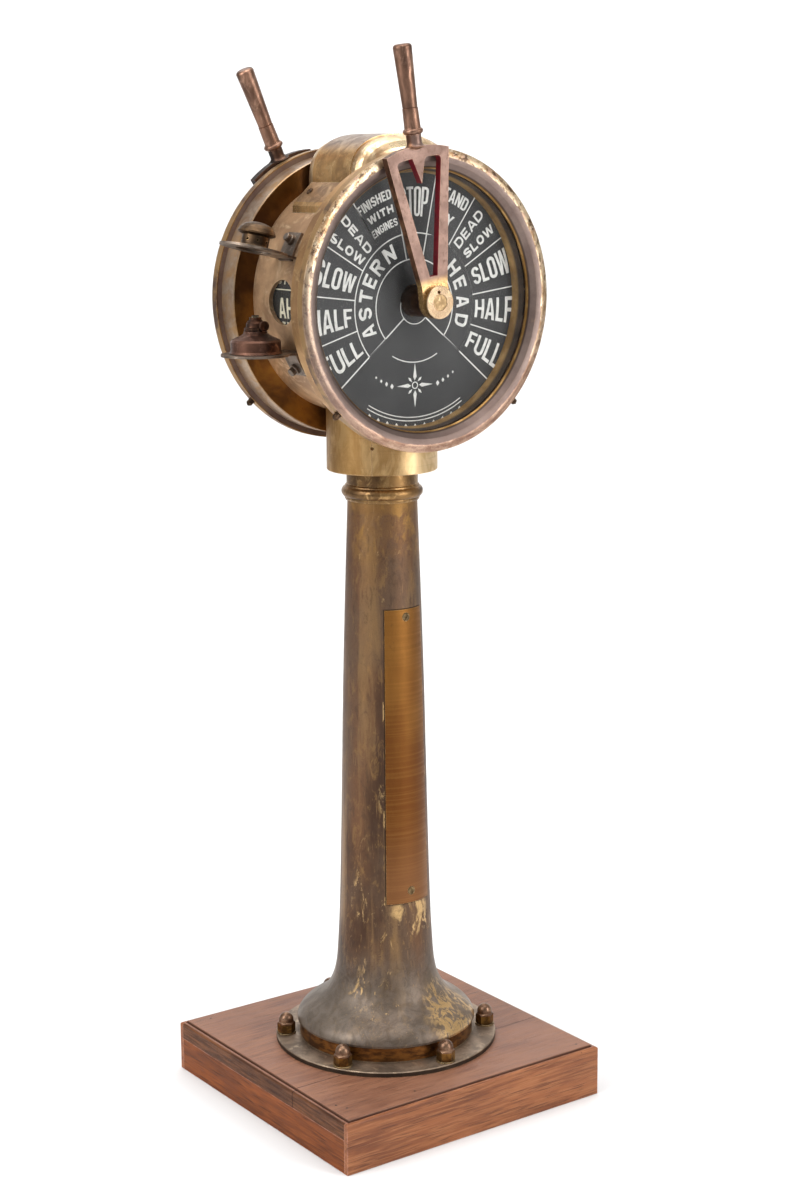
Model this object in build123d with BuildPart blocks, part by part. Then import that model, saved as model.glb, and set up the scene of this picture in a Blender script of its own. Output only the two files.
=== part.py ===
from build123d import *
import os
from math import sin, cos, radians, degrees, sqrt, atan2

# Ship engine telegraph: a two-faced transmitter head on a brass column,
# bolted to a square wooden plinth.  Millimetres.  Origin at the centre of the
# plinth's underside, on the column's axis.  +Z up, the front dial faces -Y.

# ---------------------------------------------------------------- driving dimensions
PLINTH = 366.0          # side of the square plinth
FIELD_Z = 62.5          # top of the plinth's raised field
BEAD_Z = 60.0           # top of the bead worked round its edge
BOARD_Z = 40.0          # underside of the two top boards
SEAM_Y = -71.0          # joint between the two top boards
FACING_T = 6.3          # facing strips on the front and back edges

FLANGE_R = 133.5        # foot flange
FLANGE_T = 6.0
STUD_PCR = 121.5        # pitch circle radius of the six studs
BAND_R = 104.8          # bright band under the bell of the column
BELL_Z = 86.0           # lower lip of the bell

NECK_R = 40.7           # column neck
BLOCK_Z = 757.5         # underside of the socket block
BLOCK_R = 64.2
DOOR_Z0, DOOR_Z1 = 245.0, 599.0
DOOR_HALF = 34.0        # half angle of the column door, degrees

AX_Z = 954.0            # axis of the head, parallel to Y
DRUM_R = 135.0
DRUM_HALF = 58.0        # half length of the drum between the two housings
HOUS_R = 161.0          # dial housings
RIM_R = 168.0           # bezels
RIM_Y = 95.0            # front plane of a bezel
DIAL_Y = 63.0           # printed face of a dial
GLASS_Y = 80.0

SHAFT_R = 9.4
LEVER_Y0, LEVER_Y1 = 98.0, 107.0   # lever frame, back and front faces
HUB_Y1 = 113.0
TILT_F = -8.9           # stored tilt of the front lever from upright, towards -X
TILT_B = -24.2          # and of the back lever
GRIP_TOP = 278.5        # from the axis to the top of a grip

LAMP_X = -169.0         # lamp axis
AX = Axis((0, 0, AX_Z), (0, 1, 0))

os.makedirs("parts", exist_ok=True)
made = []


def save(part, label):
    part.label = label
    export_step(part, f"parts/{label}.step")
    made.append((label, len(part.solids()), part.volume))


def ring_about_head(points, label=None):
    """A turned ring about the head's axis; points are (y, radius)."""
    with BuildPart() as piece:
        with BuildSketch(Plane.YZ):
            with BuildLine():
                Polyline([(y, AX_Z + r) for y, r in points], close=True)
            make_face()
        revolve(axis=AX)
    return piece.part


def turned(points, origin, direction, x_dir):
    """A turned solid; points are (radius, distance along the axis)."""
    pl = Plane(origin=origin, x_dir=x_dir, z_dir=Vector(*x_dir).cross(Vector(*direction)))
    with BuildPart() as piece:
        with BuildSketch(pl):
            with BuildLine():
                Polyline(points, close=True)
            make_face()
        revolve(axis=Axis(origin, direction))
    return piece.part


def slotted_screw(origin, direction, head_r, head_h, shank_r, shank_l, turn=30):
    """A slotted cheese-head screw whose head stands on origin and points along direction."""
    pl = Plane(origin=origin, z_dir=direction)
    with BuildPart() as piece:
        with BuildSketch(pl):
            Circle(head_r)
        extrude(amount=head_h)
        chamfer(piece.faces().sort_by(Axis(origin, direction))[-1].edges(), 0.28 * head_h)
        with BuildSketch(pl):
            Circle(shank_r)
        extrude(amount=-shank_l)
        with BuildSketch(pl.offset(head_h * 0.5)):
            Rectangle(2.4 * head_r, max(0.9, 0.22 * head_r), rotation=turn)
        extrude(amount=head_h, mode=Mode.SUBTRACT)
    return piece.part


# ================================================================= plinth
# the outer envelope carries the moulding: a bead, a quirk and the raised field
with BuildPart() as envelope:
    with BuildSketch(Plane.XY):
        Rectangle(PLINTH, PLINTH)
    extrude(amount=BEAD_Z)
    fillet(envelope.faces().sort_by(Axis.Z)[-1].edges(), 2.6)
    with BuildSketch(Plane.XY.offset(BEAD_Z - 1.9)):
        Rectangle(PLINTH - 9.6, PLINTH - 9.6)
    extrude(amount=5, mode=Mode.SUBTRACT)
    with BuildSketch(Plane.XY.offset(BEAD_Z - 1.9)):
        Rectangle(PLINTH - 2 * FACING_T, PLINTH - 2 * FACING_T)
    extrude(amount=FIELD_Z - BEAD_Z + 1.9)
    fillet(envelope.faces().sort_by(Axis.Z)[-1].edges(), 1.2)

INSET = PLINTH / 2 - FACING_T
with BuildPart() as plinth_front_board:
    with BuildSketch(Plane.XY.offset(BOARD_Z)):
        with Locations((0, (-INSET + SEAM_Y) / 2)):
            Rectangle(PLINTH, SEAM_Y + INSET)
    extrude(amount=30)
    add(envelope.part, mode=Mode.INTERSECT)
    with Locations((0, -STUD_PCR, 0)):
        Hole(5.3)
save(plinth_front_board.part, "plinth_front_board")

with BuildPart() as plinth_rear_board:
    with BuildSketch(Plane.XY.offset(BOARD_Z)):
        with Locations((0, (INSET + SEAM_Y + 0.5) / 2)):
            Rectangle(PLINTH, INSET - SEAM_Y - 0.5)
    extrude(amount=30)
    add(envelope.part, mode=Mode.INTERSECT)
    with PolarLocations(STUD_PCR, 6, start_angle=30):
        Hole(5.3)
save(plinth_rear_board.part, "plinth_rear_board")

for sgn, label in ((-1, "plinth_front_facing"), (1, "plinth_back_facing")):
    with BuildPart() as facing:
        with BuildSketch(Plane.XY):
            with Locations((0, sgn * (PLINTH - FACING_T) / 2)):
                Rectangle(PLINTH, FACING_T)
        extrude(amount=70)
        add(envelope.part, mode=Mode.INTERSECT)
    save(facing.part, label)

with BuildPart() as plinth_side_rails:
    with BuildSketch(Plane.XY):
        with Locations((-PLINTH / 2 + 11, 0), (PLINTH / 2 - 11, 0)):
            Rectangle(22, 2 * INSET)
    extrude(amount=BOARD_Z)
save(plinth_side_rails.part, "plinth_side_rails")

with BuildPart() as plinth_cross_rails:
    with BuildSketch(Plane.XY):
        with Locations((0, -INSET + 9), (0, INSET - 9)):
            Rectangle(PLINTH - 44, 18)
    extrude(amount=BOARD_Z)
save(plinth_cross_rails.part, "plinth_cross_rails")

with BuildPart() as plinth_bearer:
    with BuildSketch(Plane.XY):
        Rectangle(PLINTH - 44, 70)
    extrude(amount=BOARD_Z)
save(plinth_bearer.part, "plinth_bearer")

# ================================================================= foot flange and fastenings
FT = FIELD_Z + FLANGE_T
with BuildPart() as foot_flange:
    with BuildSketch(Plane.XY.offset(FIELD_Z)):
        Circle(FLANGE_R)
        Circle(86, mode=Mode.SUBTRACT)
    extrude(amount=FLANGE_T)
    chamfer(foot_flange.edges().filter_by(GeomType.CIRCLE).group_by(Axis.Z)[-1].sort_by(SortBy.RADIUS)[-1], 0.9)
    with BuildSketch(Plane.XY.offset(FT)):
        Circle(BAND_R)
        Circle(94, mode=Mode.SUBTRACT)
    extrude(amount=BELL_Z - FT)
    with BuildSketch(Plane.XY.offset(FIELD_Z)):
        with PolarLocations(STUD_PCR, 6, start_angle=-90):
            Circle(5.3)
    extrude(amount=FLANGE_T, mode=Mode.SUBTRACT)
save(foot_flange.part, "foot_flange")

with BuildPart() as foot_studs:
    with BuildSketch(Plane.XY.offset(BOARD_Z - 14)):
        with PolarLocations(STUD_PCR, 6, start_angle=-90):
            Circle(5.0)
    extrude(amount=FT + 1.6 + 13 - BOARD_Z + 14)
    chamfer(foot_studs.edges().filter_by(GeomType.CIRCLE), 0.6)
save(foot_studs.part, "foot_studs")

with BuildPart() as foot_washers:
    with BuildSketch(Plane.XY.offset(FT)):
        with PolarLocations(STUD_PCR, 6, start_angle=-90):
            Circle(11.6)
            Circle(5.25, mode=Mode.SUBTRACT)
    extrude(amount=1.6)
    chamfer(foot_washers.edges().filter_by(GeomType.CIRCLE).group_by(Axis.Z)[-1].group_by(SortBy.RADIUS)[-1], 0.5)
save(foot_washers.part, "foot_washers")

# one acorn nut is turned as a dome and trimmed to a hexagon, then repeated
NZ = FT + 1.6
with BuildPart() as acorn:
    with BuildSketch(Plane.XZ):
        with BuildLine():
            l1 = Polyline((0, NZ), (9.6, NZ), (11.0, NZ + 1.4), (11.0, NZ + 11.2), (9.1, NZ + 12.9), (8.9, NZ + 14.4))
            l2 = ThreePointArc((8.9, NZ + 14.4), (6.9, NZ + 21.0), (1.4, NZ + 24.4))
            l3 = Polyline((1.4, NZ + 24.4), (0, NZ + 24.4), (0, NZ))
        make_face()
    revolve(axis=Axis.Z)
    with BuildSketch(Plane.XY.offset(NZ - 1)):
        RegularPolygon(10.95, 6)
    extrude(amount=30, mode=Mode.INTERSECT)
    with BuildSketch(Plane.XY.offset(NZ)):
        Circle(5.05)
    extrude(amount=14.2, mode=Mode.SUBTRACT)
with BuildPart() as acorn_nuts:
    with PolarLocations(STUD_PCR, 6, start_angle=-90):
        add(acorn.part)
save(acorn_nuts.part, "acorn_nuts")

with BuildPart() as under_nuts:
    with BuildSketch(Plane.XY.offset(BOARD_Z - 2)):
        with PolarLocations(STUD_PCR, 6, start_angle=-90):
            Circle(14)
            Circle(5.25, mode=Mode.SUBTRACT)
    extrude(amount=2)
    with BuildSketch(Plane.XY.offset(BOARD_Z - 11)):
        with PolarLocations(STUD_PCR, 6, start_angle=-90):
            RegularPolygon(9.8, 6)
            Circle(5.05, mode=Mode.SUBTRACT)
    extrude(amount=9)
save(under_nuts.part, "under_nuts")

# ================================================================= column
outer_pts = [(107.7, 89.5), (103.3, 98.2), (93.6, 106.6), (82.5, 113.8), (73.6, 121.6), (66.0, 133.5),
             (60.6, 150), (57.2, 180), (55.2, 215), (53.2, 275), (51.3, 350), (48.9, 460), (45.6, 580),
             (42.6, 668), (NECK_R, 722)]
with BuildPart() as column:
    with BuildSketch(Plane.XZ):
        with BuildLine():
            bell = Spline(*outer_pts)
            Polyline((NECK_R, 722), (NECK_R, BLOCK_Z), (36.0, BLOCK_Z), (36.0, 790), (30.0, 790), (30.0, 742),
                     (34.2, 722))
            Spline((34.2, 722), (36.4, 668), (39.4, 580), (42.7, 460), (45.1, 350), (47.0, 275), (49.4, 205),
                   (54.2, 160), (62.5, 136), (74.0, 119), (88.0, 106), (97.0, 93))
            Polyline((97.0, 93), (97.0, BELL_Z), (106.2, BELL_Z), (107.7, 87.2), (107.7, 89.5))
        make_face()
    revolve(axis=Axis.Z)
    # opening for the door: through cut inside a rebate
    with BuildSketch(Plane.XY.offset(DOOR_Z0 + 24)):
        with BuildLine():
            Polyline((0, 0), (-90 * sin(radians(29)), -90 * cos(radians(29))), (90 * sin(radians(29)), -90 * cos(radians(29))), close=True)
        make_face()
    extrude(amount=DOOR_Z1 - DOOR_Z0 - 44, mode=Mode.SUBTRACT)


bell_edge = Spline(*outer_pts)


def r_at(z):
    lo, hi = 0.0, 1.0
    for _ in range(40):
        m = (lo + hi) / 2
        if (bell_edge @ m).Y < z:
            lo = m
        else:
            hi = m
    return (bell_edge @ lo).X


def wedge(half, z0, z1):
    a = radians(half)
    with BuildPart() as w:
        with BuildSketch(Plane.XY.offset(z0)):
            with BuildLine():
                Polyline((0, 0), (-90 * sin(a), -90 * cos(a)), (90 * sin(a), -90 * cos(a)), close=True)
            make_face()
        extrude(amount=z1 - z0)
    return w.part


def shell(inner, outer, z0, z1):
    """A ring between the column's surface moved by inner and by outer."""
    zs = [z0 + (z1 - z0) * k / 8 for k in range(9)]
    with BuildPart() as s:
        with BuildSketch(Plane.XZ):
            with BuildLine():
                a = Spline(*[(r_at(z) + inner, z) for z in zs])
                b = Spline(*[(r_at(z) + outer, z) for z in zs])
                Line(a @ 0, b @ 0)
                Line(a @ 1, b @ 1)
            make_face()
        revolve(axis=Axis.Z)
    return s.part


rebate_ring = shell(-4.0, 12.0, DOOR_Z0, DOOR_Z1)
with BuildPart() as rebate:
    add(rebate_ring)
    add(wedge(DOOR_HALF, DOOR_Z0 - 5, DOOR_Z1 + 5), mode=Mode.INTERSECT)
DSZ = (259.7, 589.5)     # heights of the two door screws
with BuildPart() as column_cut:
    add(column.part)
    add(rebate.part, mode=Mode.SUBTRACT)
    for z in DSZ:
        with BuildSketch(Plane(origin=(0, 0, z), z_dir=(0, -1, 0))):
            Circle(2.65)
        extrude(amount=90, mode=Mode.SUBTRACT)
save(column_cut.part, "column")

with BuildPart() as column_door:
    add(shell(-3.95, 0.6, DOOR_Z0 + 0.4, DOOR_Z1 - 0.4))
    add(wedge(DOOR_HALF - 0.4, DOOR_Z0 - 5, DOOR_Z1 + 5), mode=Mode.INTERSECT)
    for z in DSZ:
        with BuildSketch(Plane(origin=(0, 0, z), z_dir=(0, -1, 0))):
            Circle(2.65)
        extrude(amount=90, mode=Mode.SUBTRACT)
        with BuildSketch(Plane(origin=(0, -(r_at(z) - 0.9), z), z_dir=(0, -1, 0))):
            Circle(5.2)
        extrude(amount=10, mode=Mode.SUBTRACT)
save(column_door.part, "column_door")

screws = [slotted_screw((0, -(r_at(z) - 0.9), z), (0, -1, 0), 5.0, 2.2, 2.6, 5.5, t) for z, t in zip(DSZ, (20, -35))]
with BuildPart() as door_screws:
    add(screws)
save(door_screws.part, "door_screws")

with BuildPart() as column_collar:
    with BuildSketch(Plane.XZ):
        with BuildLine():
            Polyline((NECK_R + 0.02, 722.4), (42.6, 722.4), (43.6, 724.6), (43.6, 726.2))
            ThreePointArc((43.6, 726.2), (47.4, 732.4), (43.6, 738.6))
            Polyline((43.6, 738.6), (43.0, 740.2), (41.5, 741.4), (41.5, BLOCK_Z), (NECK_R + 0.02, BLOCK_Z), (NECK_R + 0.02, 722.4))
        make_face()
    revolve(axis=Axis.Z)
save(column_collar.part, "column_collar")

# ================================================================= socket block under the drum
SEAM = radians(-45.4)
with BuildPart() as socket_block:
    with BuildSketch(Plane.XY.offset(BLOCK_Z)):
        Circle(BLOCK_R)
    extrude(amount=95)
    chamfer(socket_block.edges().filter_by(GeomType.CIRCLE).group_by(Axis.Z)[0], 1.0)
    with BuildSketch(Plane.XY.offset(BLOCK_Z)):
        Circle(36.04)
    extrude(amount=95, mode=Mode.SUBTRACT)
    with BuildSketch(Plane.XZ.offset(-90)):
        with Locations((0, AX_Z)):
            Circle(DRUM_R + 0.05)
    extrude(amount=180, mode=Mode.SUBTRACT)
    for sgn in (-1, 1):
        with BuildSketch(Plane.XZ.offset(-sgn * (DRUM_HALF - 0.1))):
            with Locations((0, AX_Z)):
                Circle(HOUS_R + 0.4)
        extrude(amount=-sgn * 40, mode=Mode.SUBTRACT)
    # narrow joint line and a small dowel hole
    with BuildSketch(Plane.XY.offset(BLOCK_Z - 1)):
        with Locations((BLOCK_R * sin(SEAM), -BLOCK_R * cos(SEAM))):
            Rectangle(0.9, 2.4, rotation=degrees(SEAM))
    extrude(amount=60, mode=Mode.SUBTRACT)
    with BuildSketch(Plane(origin=(BLOCK_R * sin(SEAM), -BLOCK_R * cos(SEAM), 789), z_dir=(sin(SEAM), -cos(SEAM), 0))):
        Circle(2.1)
    extrude(amount=-7, mode=Mode.SUBTRACT)
save(socket_block.part, "socket_block")

# ================================================================= drum
with BuildPart() as drum:
    with BuildSketch(Plane.XZ.offset(-DRUM_HALF)):
        with Locations((0, AX_Z)):
            Circle(DRUM_R)
            Circle(DRUM_R - 5, mode=Mode.SUBTRACT)
    extrude(amount=2 * DRUM_HALF)
    with BuildSketch(Plane.YZ.offset(-160)):
        with Locations((0, AX_Z)):
            Circle(25.0)
    extrude(amount=100, mode=Mode.SUBTRACT)
    with BuildSketch(Plane.XY.offset(1060)):
        RectangleRounded(70, 60, 12)
    extrude(amount=50, mode=Mode.SUBTRACT)
    with BuildSketch(Plane.XY.offset(800)):
        Circle(30)
    extrude(amount=60, mode=Mode.SUBTRACT)
save(drum.part, "drum")

with BuildPart() as window_glass:
    with BuildSketch(Plane.XZ.offset(-30)):
        with Locations((0, AX_Z)):
            Circle(DRUM_R - 1.2)
            Circle(DRUM_R - 3.2, mode=Mode.SUBTRACT)
    extrude(amount=60)
    with BuildSketch(Plane.YZ.offset(-150)):
        with Locations((0, AX_Z)):
            Circle(24.93)
    extrude(amount=60, mode=Mode.INTERSECT)
save(window_glass.part, "window_glass")

# ================================================================= the two faces
for sgn, side in ((-1, "front"), (1, "back")):
    p = lambda pts: [(sgn * y, r) for y, r in pts]
    save(ring_about_head(p([(DRUM_HALF, 17.5), (DRUM_HALF, HOUS_R - 1), (DRUM_HALF + 1, HOUS_R), (83, HOUS_R), (83, 156),
                            (61, 156), (61, 17.5)])), f"{side}_housing")
    save(ring_about_head(p([(61, 17.7), (61, 155.6), (DIAL_Y, 155.6), (DIAL_Y, 17.7)])), f"{side}_dial")
    save(ring_about_head(p([(DIAL_Y, 140.6), (DIAL_Y, 155.7), (GLASS_Y, 155.7), (GLASS_Y, 144.2)])), f"{side}_dial_spacer")
    save(ring_about_head(p([(GLASS_Y, 17.9), (GLASS_Y, 155.7), (83, 155.7), (83, 17.9)])), f"{side}_glass")
    with BuildPart() as bezel:
        with BuildSketch(Plane.YZ):
            with BuildLine():
                Polyline(*[(sgn * y, AX_Z + r) for y, r in [(93.2, 167.6), (91.2, RIM_R), (83, RIM_R), (83, 144.4), (85.0, 144.4),
                                                         (93.4, 152.4)]])
                ThreePointArc((sgn * 93.4, AX_Z + 152.4), (sgn * RIM_Y, AX_Z + 158.5), (sgn * 93.2, AX_Z + 167.6))
            make_face()
        revolve(axis=AX)
        # three shallow seats for the radial screws
        for a in (0, 134, -134):
            d = Vector(sin(radians(a)), 0, cos(radians(a)))
            o = Vector(0, sgn * 88.2, AX_Z) + d * 166.6
            with BuildSketch(Plane(origin=o, z_dir=d)):
                Circle(4.9)
            extrude(amount=4, mode=Mode.SUBTRACT)
            with BuildSketch(Plane(origin=o, z_dir=d)):
                Circle(2.05)
            extrude(amount=-9, mode=Mode.SUBTRACT)
    save(bezel.part, f"{side}_bezel")
    rows = []
    for a in (0, 134, -134):
        d = (sin(radians(a)), 0, cos(radians(a)))
        o = (166.6 * d[0], sgn * 88.2, AX_Z + 166.6 * d[2])
        # the top one sits flush, so that the lever's collar passes over it
        rows.append(slotted_screw(o, d, 3.7 if a else 4.4, 9.0 if a else 1.3, 2.0, 8.6, 15))
    with BuildPart() as bezel_screws:
        add(rows)
    save(bezel_screws.part, f"{side}_bezel_screws")
    # bearing boss on the housing and its bronze bush
    save(ring_about_head(p([(50, 13.05), (50, 20), (54, 20), (54, 34), (DRUM_HALF, 34), (DRUM_HALF, 17.4), (96.6, 17.4),
                            (97.6, 16.4), (97.6, 13.05)])), f"{side}_boss")
    save(ring_about_head(p([(49, SHAFT_R + 0.05), (49, 16), (50, 16), (50, 13.0), (97.6, 13.0), (97.6, SHAFT_R + 0.05)])),
         f"{side}_bush")

    # ------------------------------------------------------------- lever
    tilt = radians(TILT_F if sgn < 0 else TILT_B)
    u = Vector(cos(tilt), 0, -sin(tilt))
    v = Vector(sin(tilt), 0, cos(tilt))
    back = Plane(origin=(0, sgn * LEVER_Y0, AX_Z), x_dir=u, z_dir=(0, -1, 0))
    grow = -sgn
    mid = Vector(0, sgn * (LEVER_Y0 + LEVER_Y1) / 2, AX_Z)
    stem = Plane(origin=mid, x_dir=u, z_dir=(0, -1, 0))
    with BuildPart() as lever:
        with BuildSketch(back):
            with BuildLine():
                Polyline((-18.0, 5), (-17.6, 20), (-42.0, 163.5))
                ThreePointArc((-42.0, 163.5), (0, 170.6), (42.0, 163.5))
                Polyline((42.0, 163.5), (17.6, 20), (18.0, 5), (-18.0, 5))
            make_face()
            with BuildSketch(back, mode=Mode.SUBTRACT) as window:
                with BuildLine():
                    Polyline((-5.4, 29), (-30.4, 156.6), (-8.6, 158.2), (0, 130.4), (8.6, 158.2), (30.4, 156.6), (5.4, 29), close=True)
                make_face()
                vs = window.vertices().sort_by(Axis((0, 0, 0), v))
                fillet(vs[0:2], 4.6)
                fillet(window.vertices().group_by(Axis((0, 0, 0), v), tol_digits=1)[-1], 4.2)
                fillet(window.vertices().group_by(Axis((0, 0, 0), v), tol_digits=1)[-2], 4.2)
        extrude(amount=grow * (LEVER_Y1 - LEVER_Y0))
        with BuildSketch(back):
            Circle(18.3)
        extrude(amount=grow * (HUB_Y1 - LEVER_Y0))
        front_edges = lever.faces().sort_by(Axis.Y)[0 if sgn < 0 else -1].edges()
        chamfer(front_edges, 0.7)
        with BuildSketch(stem):
            with BuildLine():
                Polyline((0, 160), (4.4, 160), (4.4, 166.6), (12.4, 169.4))
                ThreePointArc((12.4, 169.4), (9.2, 171.6), (8.3, 175.5))
                Polyline((8.3, 175.5), (8.3, 183), (0, 183), (0, 160))
            make_face()
        revolve(axis=Axis(mid, v))
        with BuildSketch(back.offset(-grow * 1)):
            Circle(SHAFT_R + 0.02)
        extrude(amount=grow * 30, mode=Mode.SUBTRACT)
        with BuildSketch(back.offset(grow * (HUB_Y1 - LEVER_Y0))):
            with Locations((0, SHAFT_R + 2.0)):
                Circle(2.1)
        extrude(amount=-grow * 5, mode=Mode.SUBTRACT)
    save(lever.part, f"{side}_lever")
    with BuildPart() as ferrule:
        with BuildSketch(stem):
            with BuildLine():
                Polyline((0, 183), (8.4, 183), (9.2, 183.6))
                ThreePointArc((9.2, 183.6), (11.2, 186.4), (9.2, 189.2))
                Polyline((9.2, 189.2), (8.9, 190.4), (8.6, 211), (0, 211), (0, 183))
            make_face()
        revolve(axis=Axis(mid, v))
    save(ferrule.part, f"{side}_grip_ferrule")
    with BuildPart() as grip:
        with BuildSketch(stem):
            with BuildLine():
                Polyline((0, 211), (7.7, 211), (8.2, 212), (10.3, 273.5))
                ThreePointArc((10.3, 273.5), (9.4, 277.2), (6.0, GRIP_TOP))
                Polyline((6.0, GRIP_TOP), (0, GRIP_TOP), (0, 211))
            make_face()
        revolve(axis=Axis(mid, v))
    save(grip.part, f"{side}_grip")
    end = 36.0 if sgn < 0 else 22.0
    with BuildPart() as shaft:
        with BuildSketch(Plane.XZ.offset(-sgn * end)):
            with Locations((0, AX_Z)):
                Circle(SHAFT_R)
        extrude(amount=-sgn * (HUB_Y1 - 0.3 - end))
        chamfer(shaft.edges().filter_by(GeomType.CIRCLE), 0.5)
    save(shaft.part, f"{side}_shaft")
    with BuildPart() as wheel:
        with BuildSketch(Plane.XZ.offset(-sgn * 40)):
            with Locations((0, AX_Z)):
                Circle(42)
                with PolarLocations(43.2, 24):
                    Circle(3.6, mode=Mode.SUBTRACT)
                with PolarLocations(27, 5):
                    Circle(7, mode=Mode.SUBTRACT)
        extrude(amount=-sgn * 6)
        with BuildSketch(Plane.XZ.offset(-sgn * 37.5)):
            with Locations((0, AX_Z)):
                Circle(15)
        extrude(amount=-sgn * 11)
        with BuildSketch(Plane.XZ.offset(-sgn * 36)):
            with Locations((0, AX_Z)):
                Circle(SHAFT_R + 0.02)
        extrude(amount=-sgn * 16, mode=Mode.SUBTRACT)
    save(wheel.part, f"{side}_chain_wheel")

# order drum behind the side window, carried by the back shaft
with BuildPart() as order_drum:
    with BuildSketch(Plane.XZ.offset(-34)):
        with Locations((0, AX_Z)):
            Circle(128.0)
            Circle(125.6, mode=Mode.SUBTRACT)
    extrude(amount=66)
    with BuildSketch(Plane.XZ.offset(-34)):
        with Locations((0, AX_Z)):
            Circle(126.5)
            Circle(SHAFT_R + 0.02, mode=Mode.SUBTRACT)
            with PolarLocations(72, 6):
                Circle(24, mode=Mode.SUBTRACT)
    extrude(amount=3)
    with BuildSketch(Plane.XZ.offset(-24)):
        with Locations((0, AX_Z)):
            Circle(15)
            Circle(SHAFT_R + 0.02, mode=Mode.SUBTRACT)
    extrude(amount=-12)
save(order_drum.part, "order_drum")

# ================================================================= gong and its hammer
GONG = (80.0, AX_Z)
with BuildPart() as gong:
    with BuildSketch(Plane(origin=(GONG[0], 0, GONG[1]), x_dir=(1, 0, 0), z_dir=(0, 0, -1))):
        with BuildLine():
            Polyline((3.1, -39.0), (8, -39.0), (20, -42), (27, -47), (30, -53), (27.6, -53), (25, -48.6), (18.8, -44.2),
                     (8, -41.2), (3.1, -41.2), close=True)
        make_face()
    revolve(axis=Axis((GONG[0], 0, GONG[1]), (0, 1, 0)))
save(gong.part, "gong")
HAM = (38.0, 900.0)
with BuildPart() as gong_pillars:
    with BuildSketch(Plane.XZ.offset(DRUM_HALF)):
        with Locations(GONG):
            Circle(3.0)
    extrude(amount=-21)
    with BuildSketch(Plane.XZ.offset(DRUM_HALF)):
        with Locations(GONG):
            Circle(6.0)
    extrude(amount=-16.75)
    with BuildSketch(Plane.XZ.offset(DRUM_HALF)):
        with Locations(HAM):
            Circle(3.0)
    extrude(amount=-16)
save(gong_pillars.part, "gong_pillars")
with BuildPart() as gong_hammer:
    with BuildSketch(Plane.XZ.offset(53)):
        with Locations(HAM):
            Circle(7)
    extrude(amount=-8)
    with BuildSketch(Plane.XZ.offset(51)):
        with Locations(((HAM[0] + 64.5) / 2, (HAM[1] + 918.8) / 2)):
            Rectangle(30, 4, rotation=degrees(atan2(18.8, 26.5)))
    extrude(amount=-4)
    with Locations((65.5, -49, 919.5)):
        Sphere(4)
    with BuildSketch(Plane.XZ.offset(60)):
        with Locations(HAM):
            Circle(3.05)
    extrude(amount=-20, mode=Mode.SUBTRACT)
save(gong_hammer.part, "gong_hammer")

# ================================================================= hood over the top of the drum
half = [(67.5, 1083), (67.2, 1093), (65.4, 1103), (61.6, 1112.6), (55.4, 1120.4), (45.3, 1127.5), (33.0, 1132.6), (17.0, 1135.8), (0, 1136.8)]
arch = [(-x, z) for x, z in half] + [(x, z) for x, z in half[-2::-1]]


def arch_face(shrink, z_bottom):
    """Arch outline of the hood, drawn smaller by shrink."""
    pts = []
    n = len(arch)
    for i, (x, z) in enumerate(arch):
        ax, az = arch[max(i - 1, 0)]
        bx, bz = arch[min(i + 1, n - 1)]
        if i in (0, n - 1):
            nx, nz = (-1.0, 0.0) if i == 0 else (1.0, 0.0)
        else:
            tx, tz = bx - ax, bz - az
            m = sqrt(tx * tx + tz * tz)
            nx, nz = -tz / m, tx / m
        pts.append((x - nx * shrink, z - nz * shrink))
    with BuildSketch(Plane.XZ) as s:
        with BuildLine():
            Spline(*pts, tangents=((0, 1), (0, -1)))
            Polyline(pts[-1], (pts[-1][0], z_bottom), (pts[0][0], z_bottom), pts[0])
        make_face()
    return s.sketch


with BuildPart() as hood:
    with BuildSketch(Plane.XZ.offset(-40.0)):
        add(arch_face(1.6, 1040))
    extrude(amount=80.0)
    # each end rolls down to the housing in a quarter round
    for sgn in (-1, 1):
        for k in range(7):
            a0, a1 = radians(90 * k / 7), radians(90 * (k + 1) / 7)
            with BuildSketch(Plane.XZ.offset(-sgn * (40.0 + 17.4 * sin(a0)))):
                add(arch_face(1.6 + 16.5 * (1 - cos(a0)), 1040))
            with BuildSketch(Plane.XZ.offset(-sgn * (40.0 + 17.4 * sin(a1)))):
                add(arch_face(1.6 + 16.5 * (1 - cos(a1)), 1040))
            loft()
    with BuildSketch(Plane.XZ.offset(-38.0)):
        add(arch_face(5.2, 1030))
    extrude(amount=76.0, mode=Mode.SUBTRACT)
    with BuildSketch(Plane.XZ.offset(-90)):
        with Locations((0, AX_Z)):
            Circle(DRUM_R + 0.05)
    extrude(amount=180, mode=Mode.SUBTRACT)
save(hood.part, "hood")

STRAP = 36.5
with BuildPart() as hood_strap:
    with BuildSketch(Plane.XZ.offset(-STRAP)):
        add(arch_face(0.0, 1050))
        for sgn in (-1, 1):
            with BuildLine():
                Polyline((sgn * 60, 1083.5), (sgn * 68.5, 1083.5), (sgn * 91.5, 1062.4), (sgn * 94.4, 1058.2), (sgn * 94.6, 1048),
                         (sgn * 60, 1050), close=True)
            make_face()
    extrude(amount=2 * STRAP)
    with BuildSketch(Plane.XZ.offset(-90)):
        with Locations((0, AX_Z)):
            Circle(DRUM_R + 0.05)
        add(arch_face(1.55, 1030))
    extrude(amount=180, mode=Mode.SUBTRACT)

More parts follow.
